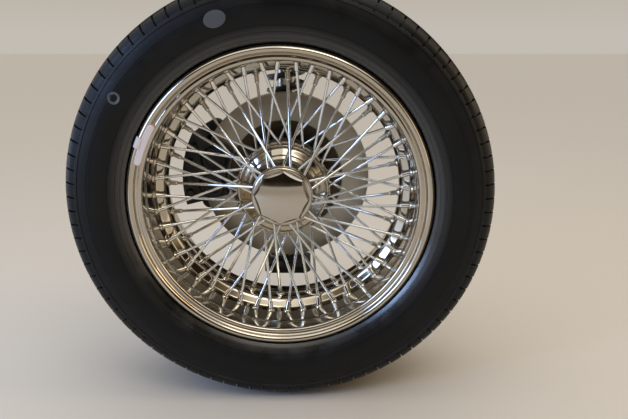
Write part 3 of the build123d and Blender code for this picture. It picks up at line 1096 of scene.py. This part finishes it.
    def build_marks(self) -> None:
        """Sets plain pads where a tyre carries its moulded marks: a dished round plug and a domed oval."""
        bm = bmesh.new()
        for mark in self.marks:
            lean = (self.sidewall(mark.radius + 1) - self.sidewall(mark.radius - 1)) / 2
            mark.add(bm, self.sidewall(mark.radius), lean)
        wheel_piece(bm, "tyre_marks", MARK_RUBBER)


@dataclass(frozen=True)
class Rim:
    """The rolled rim: two curled lips, dished flanges, safety humps and an offset drop centre.

    Its profiles count from the middle line of its wall: the curl's from the lip's edge and top, the
    channel's from the flange's web and the lip's top, the ridge's from the web and the bead seat, and
    the hump's from the hump's middle and the bead seat.
    """

    wall: float = 3.2
    bead_seat: float = 202.8
    flange_gap: float = 165.0
    flange_radius: float = 220.3
    lip_width: float = 8.5
    curl: Profile = ((-2.4, 0.9, 0.0), (-0.4, -0.9, 1.8), (0.6, -3.2, 5.0), (-0.8, -6.4, 2.0))
    channel: Profile = ((0.6, -8.0, 3.0), (-0.4, -11.0, 3.0))
    ridge: Profile = ((1.5, 2.6, 2.0), (-0.9, 0.0, 2.4))
    hump_out: float = 61.5
    hump: Profile = ((4.5, 0.0, 1.5), (2.0, 1.6, 1.2), (-2.0, 1.6, 1.2), (-4.5, 0.0, 1.5))
    well_depth: float = 16.6
    well_front: float = 0.0
    well_rear: float = -21.0
    well_round: float = 8.0
    front_slope: float = 10.0
    front_round: float = 4.0
    rear_slope: float = 15.0
    rear_round: float = 5.0
    edge_round: float = 1.4
    facets: int = 240

    def lip(self, side: int) -> list[Corner]:
        """One flange from its edge in to the safety hump: broad curled lip, channel, ridge and hump.

        Args:
            side: 1 for the outboard flange, -1 for the other.

        Returns:
            The corners of its middle line.
        """
        web = self.flange_gap / 2 + self.wall / 2
        seat = self.bead_seat - self.wall / 2
        top = self.flange_radius - self.wall / 2
        edge = web + self.lip_width - self.wall / 2
        corners = [
            *corners_from(self.curl, edge, top),
            *corners_from(self.channel, web, top),
            *corners_from(self.ridge, web, seat),
            *corners_from(self.hump, self.hump_out, seat),
        ]
        return [Corner(side * corner.out, corner.radius, corner.rounding) for corner in corners]

    def build(self) -> None:
        """Turns the middle line of the rolled band and gives it its wall."""
        seat = self.bead_seat - self.wall / 2
        well = seat - self.well_depth
        middle = [
            Corner(self.well_front + self.front_slope, seat, self.front_round),
            Corner(self.well_front, well, self.well_round),
            Corner(self.well_rear, well, self.well_round),
            Corner(self.well_rear - self.rear_slope, seat, self.rear_round),
        ]
        bm = bmesh.new()
        lathe(bm, self.lip(1) + middle + self.lip(-1)[::-1], self.facets, closed=False, segments=5)
        rim = wheel_piece(bm, "rim_rolled", RIM_CHROME, ["rim"], sharp=50.0)
        give_wall(rim, self.wall, even=True)
        round_edges(rim, self.edge_round, angle=60.0)


@dataclass(frozen=True)
class Spoke:
    """One seed spoke of a set: where its nipple sits, where its foot is and how it gets there."""

    nipple: Vector
    foot: Vector
    elbow: Vector | None


@dataclass(frozen=True)
class Lacing:
    """A set of spokes in crossing pairs, with their nipples and the dimpled seats in the rim.

    The mouth's profile counts from the sleeve's end and side, and the dome's from the seat's plane and
    side.
    """

    name: str
    count: int
    nipple_radius: float
    nipple_out: float
    lean: float
    foot_radius: float
    foot_outs: tuple[float, float]
    elbow_gap: float = 0.0
    first_pair: float = 10.0
    wire: float = 2.2
    wire_sides: int = 12
    root: float = 2.5
    bend_radius: float = 6.2
    bend_steps: int = 6
    sleeve: float = 17.0
    sleeve_radius: float = 3.8
    sleeve_root: float = 2.0
    sleeve_facets: int = 16
    mouth: Profile = ((-1.6, -0.2, 0.8), (0.0, -1.3, 0.5))
    mouth_depth: float = 4.0
    dome_radius: float = 6.4
    dome: Profile = ((-1.0, 1.2, 0.0), (0.4, 0.0, 0.8), (3.6, -1.2, 2.8))
    dome_facets: int = 20

    def seeds(self) -> dict[str, Spoke]:
        """Places the first spoke of each hand.

        Returns:
            The right-leaning and the left-leaning spoke.
        """
        made = {}
        for hand, side, foot_out in (("right", -1, self.foot_outs[0]), ("left", 1, self.foot_outs[1])):
            nipple_angle = self.first_pair + side * 180 / self.count
            foot_angle = nipple_angle - side * self.lean
            nipple = on_wheel(self.nipple_radius, nipple_angle, self.nipple_out)
            foot = on_wheel(self.foot_radius, foot_angle, foot_out)
            elbow = foot - Z * side * self.elbow_gap if self.elbow_gap else None
            made[hand] = Spoke(nipple, foot, elbow)
        return made

    def draw_spoke(self, bm: BMesh, spoke: Spoke) -> None:
        """Draws a spoke from its root in the hub, round its elbow if it has one, into its nipple.

        Args:
            bm: The mesh that takes the spoke.
            spoke: The spoke.
        """
        turn_at = spoke.elbow or spoke.foot
        away = (spoke.nipple - turn_at).normalized()
        reach = (spoke.nipple - turn_at).length - self.sleeve + self.mouth_depth
        if spoke.elbow is None:
            wire = Wire(bm, spoke.foot - away * self.root, away, self.wire, self.wire_sides)
            wire.run(self.root + reach)
            return
        setting_off = (spoke.elbow - spoke.foot).normalized()
        before = self.bend_radius * tan(setting_off.angle(away) / 2)
        wire = Wire(bm, spoke.foot - setting_off * self.root, setting_off, self.wire, self.wire_sides)
        wire.run(self.root + self.elbow_gap - before)
        wire.bend(away, self.bend_radius, self.bend_steps)
        wire.run(reach - before)

    def nipple_section(self) -> list[Corner]:
        """The nipple's section, from its head under the seat to the mouth where the wire goes in."""
        mouth = corners_from(self.mouth, self.sleeve, self.sleeve_radius)
        return capped([Corner(-self.sleeve_root, self.sleeve_radius), *mouth])

    def build_wires(self, hand: str, spoke: Spoke) -> None:
        """Draws all the spokes of one hand.

        Args:
            hand: Which way they lean.
            spoke: The first of them.
        """
        bm = bmesh.new()
        self.draw_spoke(bm, spoke)
        close_ends(bm)
        repeat_round(bm, self.count // 2)
        node = f"{self.name}_spokes_{hand}"
        wheel_piece(bm, f"{self.name}_wires_{hand}", SPOKE_CHROME, [node])

    def build(self) -> None:
        """Builds both hands of spokes, all the set's nipples and their dimpled seats."""
        sleeves, seats = bmesh.new(), bmesh.new()
        for hand, spoke in self.seeds().items():
            self.build_wires(hand, spoke)
            inward = ((spoke.elbow or spoke.foot) - spoke.nipple).normalized()
            place = pointing(spoke.nipple, inward)
            lathe(sleeves, self.nipple_section(), self.sleeve_facets, place, segments=2)
            towards_axle = Vector((-spoke.nipple.x, -spoke.nipple.y, 0.0))
            dome = capped(corners_from(self.dome, 0.0, self.dome_radius))
            lathe(seats, dome, self.dome_facets, pointing(spoke.nipple, towards_axle))
        for bm in (sleeves, seats):
            repeat_round(bm, self.count // 2)
        node = f"{self.name}_nipples"
        wheel_piece(sleeves, f"{self.name}_sleeves", NIPPLE_CHROME, [node])
        wheel_piece(seats, f"{self.name}_seats", RIM_CHROME)


@dataclass(frozen=True)
class Hub:
    """The hub shell: nose, stepped bell with its bright rolled edge, foot flange and tube."""

    bore: float = 38.3
    nose_out: float = 46.0
    nose_radius: float = 46.5
    nose_length: float = 17.0
    bell: Profile = (
        (19.0, 50.0, 3.0),
        (15.5, 56.5, 1.4),
        (13.4, 57.0, 0.8),
        (10.0, 63.0, 2.0),
        (8.0, 66.4, 1.0),
        (6.2, 67.2, 0.6),
        (7.6, 68.4, 1.0),
        (7.0, 71.5, 1.8),
        (2.0, 71.5, 1.6),
        (0.4, 66.0, 2.0),
    )
    groove_out: float = 0.0
    groove_radius: float = 58.0
    flange_front: float = -9.0
    flange_rear: float = -15.0
    flange_radius: float = 74.0
    tube_radius: float = 52.0
    rear_out: float = -60.0
    facets: int = 144

    def build(self) -> None:
        """Turns the shell."""
        corners = [
            Corner(self.nose_out, self.bore, 0.6),
            Corner(self.nose_out, self.nose_radius, 1.6),
            Corner(self.nose_out - self.nose_length, self.nose_radius, 4.0),
            *corners_from(self.bell),
            Corner(self.groove_out, self.groove_radius, 1.5),
            Corner(self.flange_front, self.groove_radius, 1.5),
            Corner(self.flange_front, self.flange_radius, 1.0),
            Corner(self.flange_rear, self.flange_radius, 1.0),
            Corner(self.flange_rear, self.tube_radius, 2.0),
            Corner(self.rear_out, self.tube_radius, 1.0),
            Corner(self.rear_out, self.bore, 0.6),
        ]
        bm = bmesh.new()
        lathe(bm, corners, self.facets)
        wheel_piece(bm, "hub_bell", HUB_CHROME, ["hub_shell"], sharp=40.0)


@dataclass(frozen=True)
class KnockOffNut:
    """The knock-off nut: a round skirt, a domed body and eight sloping flats cut from it.

    The flats' profile holds the distance out and the radius of each line where a flat changes its slope.
    """

    base_out: float = 46.0
    skirt_out: float = 52.0
    face_out: float = 65.9
    skirt_radius: float = 45.0
    skirt_inset: float = 6.0
    skirt_edge: Profile = ((-1.4, 0.0, 1.6), (0.0, -2.6, 0.6))
    body_radius: float = 43.2
    body_inset: float = 3.0
    body_edge: Profile = ((-1.0, 0.0, 0.0), (4.5, -1.0, 3.0))
    flats: int = 8
    flats_profile: tuple[tuple[float, float], ...] = ((52.0, 39.8), (57.6, 38.2), (61.0, 34.8))
    dome_from: float = 40.0
    dome_drop: float = 6.7
    dome_steps: int = 10
    first_corner: float = 5.0
    facets: int = 128
    edge_round: float = 0.4

    def dome(self) -> list[Corner]:
        """The plain domed face.

        Returns:
            The corners, from its edge in to the axle.
        """
        bow = (self.dome_from**2 + self.dome_drop**2) / (2 * self.dome_drop)
        radii = [self.dome_from * (1 - step / self.dome_steps) for step in range(self.dome_steps + 1)]
        return [Corner(self.face_out - bow + sqrt(bow**2 - radius**2), radius) for radius in radii]

    def cut_flat(self, bm: BMesh, base: Vector, outward: Vector) -> None:
        """Cuts away all that is outside a plane, and closes the cut.

        Args:
            bm: The nut's body.
            base: A point in the plane.
            outward: The plane's outward direction.
        """
        cut = bmesh.ops.bisect_plane(
            bm,
            geom=bm.verts[:] + bm.edges[:] + bm.faces[:],
            plane_co=base,
            plane_no=outward.normalized(),
            clear_outer=True,
        )["geom_cut"]
        bmesh.ops.edgeloop_fill(bm, edges=edges_in(cut))

    def build(self) -> None:
        """Turns the body, cuts its flats and adds the skirt."""
        body = [
            Corner(self.base_out, 0),
            Corner(self.base_out, self.body_radius - self.body_inset),
            *corners_from(self.body_edge, self.skirt_out, self.body_radius),
            *self.dome(),
        ]
        skirt = [
            Corner(self.base_out, self.body_radius - self.skirt_inset),
            Corner(self.base_out, self.skirt_radius, 0.8),
            *corners_from(self.skirt_edge, self.skirt_out, self.skirt_radius),
            Corner(self.skirt_out, self.body_radius - self.skirt_inset),
        ]
        bm = bmesh.new()
        lathe(bm, body, self.facets)
        for (low, base), (high, face) in zip(self.flats_profile, self.flats_profile[1:]):
            slope = (base - face) / (high - low)
            for number in range(self.flats):
                angle = self.first_corner + (number + 0.5) * 360 / self.flats
                self.cut_flat(bm, on_wheel(base, angle, low), on_wheel(1, angle, slope))
        lathe(bm, skirt, self.facets)
        nut = wheel_piece(
            bm, "knock_off_nut_domed", NUT_CHROME, ["knock_off_nut"], sharp=20.0
        )
        round_edges(nut, self.edge_round, segments=2, angle=18.0)


@dataclass(frozen=True)
class Adaptor:
    """The splined adaptor under the hub, with the disc's flange and its bolts."""

    bore: float = 18.05
    thread_radius: float = 27.0
    thread_out: float = 59.0
    barrel_radius: float = 38.0
    barrel_out: float = 44.0
    collar_radius: float = 48.0
    collar_out: float = -60.0
    flange_out: float = -78.0
    flange_rear: float = -88.0
    flange_radius: float = 68.0
    facets: int = 96
    bolts: int = 5
    bolt_circle: float = 57.5
    bolt: HexBolt = HexBolt(across=13.0, height=7.0)

    def build(self) -> None:
        """Turns the adaptor and bolts the disc to it."""
        corners = [
            Corner(self.thread_out, self.bore, 0.4),
            Corner(self.thread_out, self.thread_radius, 1.2),
            Corner(self.barrel_out, self.thread_radius, 0.8),
            Corner(self.barrel_out, self.barrel_radius, 1.0),
            Corner(self.collar_out, self.barrel_radius, 0.5),
            Corner(self.collar_out, self.collar_radius, 1.0),
            Corner(self.flange_out, self.collar_radius, 3.0),
            Corner(self.flange_out, self.flange_radius, 1.0),
            Corner(self.flange_rear, self.flange_radius, 0.5),
            Corner(self.flange_rear, self.bore, 0.4),
        ]
        bm = bmesh.new()
        lathe(bm, corners, self.facets, segments=3)
        wheel_piece(bm, "hub_adaptor_turned", ADAPTOR_STEEL, ["hub_adaptor"])
        bm = bmesh.new()
        self.bolt.add(bm, on_wheel(self.bolt_circle, 0, self.flange_out), Z)
        repeat_round(bm, self.bolts)
        wheel_piece(bm, "disc_bolts", BOLT_ZINC, sharp=30.0)


@dataclass(frozen=True)
class BrakeDisc:
    """The vented disc: two cheeks with slots between the vanes at the edge."""

    front: float = -88.0
    thickness: float = 22.0
    radius: float = 142.0
    edge_round: float = 1.2
    bore: float = 40.0
    bore_round: float = 0.8
    vanes: int = 48
    vane_width: float = 6.0
    slot_height: float = 8.0
    slot_depth: float = 26.0
    swept_radius: float = 97.0
    relief: float = 0.8
    relief_slope: float = 1.5
    near_edge: float = 2.0

    def is_mouth(self, face: BMFace) -> bool:
        """Tells whether a face lies at the mouth of the slots.

        Args:
            face: The face.

        Returns:
            True if it does.
        """
        middle = face.calc_center_median()
        height = abs(middle.z - (self.front - self.thickness / 2))
        return height < self.slot_height / 4 and middle.xy.length > self.radius - self.near_edge

    def build(self) -> None:
        """Builds one vane and one slot, and repeats them round the axle."""
        rear = self.front - self.thickness
        middle = self.front - self.thickness / 2
        relief_radius = self.swept_radius - self.relief_slope
        corners = [
            Corner(self.front - self.relief, self.bore, self.bore_round),
            Corner(self.front - self.relief, relief_radius),
            Corner(self.front, self.swept_radius),
            Corner(self.front, self.radius, self.edge_round),
            Corner(middle + self.slot_height / 2, self.radius),
            Corner(middle - self.slot_height / 2, self.radius),
            Corner(rear, self.radius, self.edge_round),
            Corner(rear, self.swept_radius),
            Corner(rear + self.relief, relief_radius),
            Corner(rear + self.relief, self.bore, self.bore_round),
        ]
        bm = bmesh.new()
        draw_section(bm, corners, segments=2)
        vane = self.vane_width / self.radius
        last = bm.verts[:] + bm.edges[:]
        for width in (vane, 2 * pi / self.vanes - vane):
            old = set(bm.faces)
            last = bmesh.ops.spin(bm, geom=last, cent=ORIGIN, axis=Z, angle=width, steps=1)["geom_last"]
        mouths = [face for face in bm.faces if face not in old and self.is_mouth(face)]
        grown = bmesh.ops.extrude_face_region(bm, geom=mouths)["geom"]
        bmesh.ops.delete(bm, geom=mouths, context="FACES")
        for vert in verts_in(grown):
            vert.co.xy *= 1 - self.slot_depth / self.radius
        repeat_round(bm, self.vanes)
        wheel_piece(bm, "brake_disc_vented", DISC_IRON, ["brake_disc"], sharp=25.0)


@dataclass(frozen=True)
class BalanceWeight:
    """The coated balance weight on the outer flange and the clip that holds it over the lip.

    The clip's profile counts from the lip's crest and the weight's outer side.
    """

    angle: float = 294.2
    span: float = 17.0
    steps: int = 10
    inner: float = 203.4
    outer: float = 214.2
    seat: float = 85.7
    thickness: float = 7.2
    crown: float = 0.2
    draft: float = 0.6
    end_round: float = 5.0
    edge_round: float = 1.3
    long_edge: float = 3.0
    lip_crest: float = 93.2
    clip: Profile = ((0.5, -1.5, 1.0), (0.7, 3.0, 1.5), (-0.1, 5.4, 2.0), (-2.9, 6.9, 1.0))
    clip_root: tuple[float, float] = (-1.0, -1.8)
    clip_span: float = 4.2
    clip_steps: int = 4
    clip_thickness: float = 1.0
    clip_round: float = 0.4

    def sweep(
        self, bm: BMesh, corners: Sequence[Corner], closed: bool, span: float, steps: int
    ) -> None:
        """Sweeps a section about the axle, centred on the weight's angle.

        Args:
            bm: The mesh that takes the sweep.
            corners: The section's corners.
            closed: Whether the last corner joins the first.
            span: Degrees that the sweep covers.
            steps: Steps in the sweep.
        """
        verts = draw_section(bm, corners, closed)
        start = Matrix.Rotation(-radians(self.angle - span / 2), 4, "Z")
        bmesh.ops.transform(bm, matrix=start, verts=verts)
        geom = verts + edges_at(verts)
        bmesh.ops.spin(bm, geom=geom, cent=ORIGIN, axis=Z, angle=-radians(span), steps=steps)

    def is_end_corner(self, edge: BMEdge) -> bool:
        """Whether an edge runs along the axle at one of the weight's ends."""
        rise = abs((edge.verts[0].co - edge.verts[1].co).z)
        return rise > self.long_edge and any(len(face.verts) > 4 for face in edge.link_faces)

    def build(self) -> None:
        """Sweeps the weight and its clip."""
        front = self.seat + self.thickness
        block = [
            Corner(self.seat, self.inner),
            Corner(front, self.inner + self.draft),
            Corner(front + self.crown, (self.inner + self.outer) / 2),
            Corner(front, self.outer),
            Corner(self.seat, self.outer),
        ]
        bm = bmesh.new()
        self.sweep(bm, block, True, self.span, self.steps)
        close_ends(bm)
        round_off(bm, [edge for edge in bm.edges if self.is_end_corner(edge)], self.end_round, 5, "EDGES")
        weight = wheel_piece(
            bm, "balance_weight_coated", WEIGHT_ZINC, ["balance_weight"]
        )
        round_edges(weight, self.edge_round)
        bm = bmesh.new()
        root = Corner(front + self.clip_root[0], self.outer + self.clip_root[1])
        hook = [root, *corners_from(self.clip, self.lip_crest, self.outer)]
        self.sweep(bm, hook, False, self.clip_span, self.clip_steps)
        clip = wheel_piece(bm, "balance_weight_clip", WEIGHT_ZINC)
        give_wall(clip, self.clip_thickness)
        round_edges(clip, self.clip_round, segments=2)


# The stub axle and the pillar


@dataclass(frozen=True)
class Caliper:
    """The caliper's casting with its piston housings and bridge bolts, its pads and bracket.

    The housings' profile counts from the casting's outer face and the pistons' radius.
    """

    angle: float = 277.0
    outer_face: float = -55.2
    piston_radius: float = 21.0
    piston_place: float = 122.0
    piston_spread: float = 10.5
    housing: Profile = (
        (-4.0, 1.5, 0.0),
        (0.0, 1.5, 1.0),
        (4.0, -2.0, 1.6),
        (4.0, -7.0, 1.0),
        (2.6, -8.5, 0.8),
    )
    housing_facets: int = 48
    bolt_place: float = 159.0
    bolt_spread: float = 14.0
    bolt_shares: tuple[float, float] = (0.35, 1.0)
    bolt_across: float = 11.0
    bolt_height: float = 6.0
    bolt_turn: float = 17.0

    def build(self) -> None:
        """Rounds the plain solids and adds what stands proud of them."""
        for node, name, finish, slot, width in (
            ("brake_caliper", "caliper_casting", CALIPER_PAINT, "caliper_paint", 2.5),
            ("caliper_bracket", "caliper_bracket_plate", FORGING_BLACK, "forging_black", 1.2),
            ("brake_pad_outer", "brake_pad_front", LINING, "pad_lining", 0.8),
            ("brake_pad_inner", "brake_pad_rear", LINING, "pad_lining", 0.8),
        ):
            softened(node, name, finish, Body.STUB_AXLE, width)
        housings, bolts = bmesh.new(), bmesh.new()
        section = capped(corners_from(self.housing, 0.0, self.piston_radius))
        for side in (-1, 1):
            at = on_wheel(self.piston_place, self.angle + side * self.piston_spread, self.outer_face)
            lathe(housings, section, self.housing_facets, Matrix.Translation(at), segments=3)
            for share in self.bolt_shares:
                bolt = HexBolt(self.bolt_across, self.bolt_height, self.bolt_turn * share)
                angle = self.angle + side * share * self.bolt_spread
                bolt.add(bolts, on_wheel(self.bolt_place, angle, self.outer_face), Z)
        # The bridge bolts take the casting's near-black paint, which is painted shade for the dark inside of
        # the wheel
        for bm, name, sharp in (
            (housings, "caliper_piston_housings", SHARP),
            (bolts, "caliper_bolts", 30.0),
        ):
            place = wheel_frame()
            finished(bm, name, CALIPER_PAINT, Body.STUB_AXLE, place, sharp=sharp)


@dataclass(frozen=True)
class SteeringKnuckle:
    """The upright with its stub axle, steering arm and thrust washer, their forged edges rounded."""

    def build(self) -> None:
        """Rounds the plain solids."""
        for node, name, finish, slot, width in (
            ("stub_axle", "stub_axle_forging", FORGING_BLACK, "forging_black", 2.0),
            ("steering_arm", "steering_arm_forging", FORGING_BLACK, "forging_black", 3.0),
            ("thrust_washer", "thrust_washer_turned", PILLAR_STEEL, "pillar_steel", 0.6),
        ):
            softened(node, name, finish, Body.STUB_AXLE, width)


@dataclass(frozen=True)
class Spring:
    """A coil spring of round wire with a dead coil at each end, about the kingpin."""

    node: str
    turns: float
    radius: float = 30.0
    wire: float = 4.75
    wire_sides: int = 14
    dead_turns: float = 0.75
    dead_pitch: float = 1.02
    steps_a_turn: int = 40

    def build(self) -> None:
        """Coils the wire between the ends of the plain solid."""
        low, high = (corner.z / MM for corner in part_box(self.node))
        dead_rise = 2 * self.wire * self.dead_turns * self.dead_pitch
        live_rise = high - low - 2 * self.wire - 2 * dead_rise
        bm = bmesh.new()
        start = Vector((self.radius, 0, low + self.wire))
        wire = Wire(bm, start, Vector((0, 1, 0)), self.wire, self.wire_sides)
        wire.coil(self.dead_turns, dead_rise, self.steps_a_turn)
        wire.coil(self.turns - self.dead_turns, live_rise, self.steps_a_turn)
        wire.coil(self.dead_turns, dead_rise, self.steps_a_turn)
        close_ends(bm)
        name = f"{self.node}_coil"
        finished(bm, name, SPRING_BLACK, Body.PILLAR, part_frame(), [self.node])


@dataclass(frozen=True)
class Pillar:
    """The sliding pillar: kingpin, spring cup, foot plate and the two springs."""

    springs: tuple[Spring, ...] = (Spring("main_spring", turns=6.0), Spring("rebound_spring", turns=3.0))

    def build(self) -> None:
        """Rounds the plain solids and coils the springs."""
        for node, name, finish, slot, width in (
            ("kingpin", "kingpin_ground", PILLAR_STEEL, "pillar_steel", 1.0),
            ("spring_cup", "spring_cup_pressed", FORGING_BLACK, "forging_black", 1.2),
            ("pillar_foot", "pillar_foot_plate", FORGING_BLACK, "forging_black", 1.2),
        ):
            softened(node, name, finish, Body.PILLAR, width)
        for spring in self.springs:
            spring.build()


# The studio


@dataclass(frozen=True)
class Lamp:
    """A soft square lamp that looks at the wheel."""

    name: str
    place: tuple[float, float, float]
    size: tuple[float, float]
    power: float
    colour: str

    def build(self, target: Vector) -> None:
        """Hangs the lamp and points it.

        Args:
            target: What the lamp looks at.
        """
        light = bpy.data.lights.new(self.name, "AREA")
        light.shape = "RECTANGLE"
        light.size, light.size_y = self.size
        light.energy = self.power
        light.color = linear(self.colour)[:3]
        lamp = bpy.data.objects.new(self.name, light)
        bpy.context.scene.collection.objects.link(lamp)
        lamp.location = self.place
        lamp.rotation_mode = "QUATERNION"
        lamp.rotation_quaternion = (target - Vector(self.place)).to_track_quat("-Z", "Y")


@dataclass(frozen=True)
class Studio:
    """Camera, pale floor, soft lamps, and a sky whose darker band gives the chrome its contrast.

    The sky's rows hold a share of the way from straight down to straight up, and the colour there. A
    window's row holds how far to the side it begins and is full, and its colour.
    """

    camera_place: tuple[float, float, float] = (46.0, -1090.5, -10.7)
    camera_down: float = 15.79
    camera_right: float = 0.136
    lens: float = 35.0
    sensor: float = 36.0
    nearest: float = 0.01
    floor_size: float = 40.0
    floor_finish: Finish = Finish("matt_studio_floor", "#c4beb5", 0.55)
    sky_strength: float = 1.4
    sky: tuple[tuple[float, str], ...] = (
        (0.0, "#7a756d"),
        (0.5, "#a8a39b"),
        (0.53, "#a29b91"),
        (0.54, "#40372d"),
        (0.6, "#1d1813"),
        (0.74, "#2a2119"),
        (0.81, "#85755c"),
        (0.85, "#fff8ea"),
        (1.0, "#ffffff"),
    )
    windows: tuple[tuple[float, float, str], ...] = ((-0.62, -0.8, "#dfeaff"), (0.72, 0.86, "#ffe6c2"))
    lamps: tuple[Lamp, ...] = (
        Lamp("window", (-1.5, -1.35, 0.4), (0.5, 0.9), 16.0, "#a6c8ff"),
        Lamp("sill", (-2.0, 0.0, -0.25), (0.7, 0.35), 3.0, "#a6c8ff"),
        Lamp("ceiling", (0.5, -1.5, 1.7), (1.2, 0.5), 7.0, "#fff1da"),
        Lamp("side", (1.9, -0.5, 0.9), (0.4, 1.2), 6.0, "#ffe2b8"),
    )

    def build(self) -> None:
        """Sets up the camera, the floor, the sky and the lamps."""
        scene = bpy.context.scene
        scene.view_settings.view_transform = "Standard"
        self.build_camera(scene)
        self.build_floor()
        self.build_sky(scene)
        low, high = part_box("rim")
        for lamp in self.lamps:
            lamp.build((low + high) / 2)

    def build_camera(self, scene: Scene) -> None:
        """Stands the camera where the photograph was taken from.

        Args:
            scene: The scene.
        """
        data = bpy.data.cameras.new("camera")
        data.lens = self.lens
        data.sensor_width = self.sensor
        data.clip_start = self.nearest
        camera = bpy.data.objects.new("camera", data)
        scene.collection.objects.link(camera)
        camera.location = Vector(self.camera_place) * MM
        camera.rotation_euler = (radians(90 - self.camera_down), 0.0, -radians(self.camera_right))
        scene.camera = camera

    def build_floor(self) -> None:
        """Lays the floor under the tyre."""
        bm = bmesh.new()
        bmesh.ops.create_grid(bm, x_segments=1, y_segments=1, size=self.floor_size / 2)
        bmesh.ops.translate(bm, vec=(0, 0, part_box("tyre")[0].z), verts=bm.verts)
        mesh = bpy.data.meshes.new("floor")
        bm.to_mesh(mesh)
        bm.free()
        mesh.materials.append(self.floor_finish.material())
        floor = bpy.data.objects.new("floor", mesh)
        bpy.context.scene.collection.objects.link(floor)

    def build_sky(self, scene: Scene) -> None:
        """Shades the world: pale at the horizon, dark above it, white overhead, and a window each side.

        Args:
            scene: The scene.
        """
        world = bpy.data.worlds.new("studio_sky")
        world.use_nodes = True
        scene.world = world
        tree = world.node_tree
        way = add_node(tree, "ShaderNodeTexCoord").outputs["Generated"]
        apart = add_node(tree, "ShaderNodeSeparateXYZ", {0: way}).outputs
        span = {"Value": apart["Z"], "From Min": -1.0, "From Max": 1.0}
        share = add_node(tree, "ShaderNodeMapRange", span).outputs[0]
        ramp = add_node(tree, "ShaderNodeValToRGB", {0: share})
        stops = ramp.color_ramp.elements
        while len(stops) < len(self.sky):
            stops.new(0.5)
        for stop, (place, colour) in zip(stops, self.sky):
            stop.position = place
            stop.color = linear(colour)
        colour = ramp.outputs[0]
        for start, end, light in self.windows:
            span = {"Value": apart["X"], "From Min": start, "From Max": end}
            share = add_node(tree, "ShaderNodeMapRange", span).outputs[0]
            colours = {0: share, 6: colour, 7: linear(light)}
            colour = add_node(tree, "ShaderNodeMix", colours, data_type="RGBA").outputs[2]
        background = tree.nodes["Background"]
        background.inputs["Strength"].default_value = self.sky_strength
        tree.links.new(colour, background.inputs["Color"])


def main() -> None:
    """Builds every sub-assembly and the studio."""
    logging.basicConfig(level=logging.INFO, format="%(name)s: %(message)s")
    flange_lacing = Lacing(
        name="flange",
        count=48,
        nipple_radius=199.6,
        nipple_out=20.0,
        lean=22.5,
        foot_radius=66.0,
        foot_outs=(-9.0, -15.0),
        elbow_gap=5.5,
    )
    nose_lacing = Lacing(
        name="nose",
        count=24,
        nipple_radius=183.0,
        nipple_out=-10.5,
        lean=15.0,
        foot_radius=44.3,
        foot_outs=(42.0, 34.0),
    )
    wheel = (Tyre(), Rim(), flange_lacing, nose_lacing, Hub(), KnockOffNut(), Adaptor(), BrakeDisc())
    for assembly in (*wheel, BalanceWeight(), Caliper(), SteeringKnuckle(), Pillar(), Studio()):
        assembly.build()


if __name__ == "__main__":
    main()
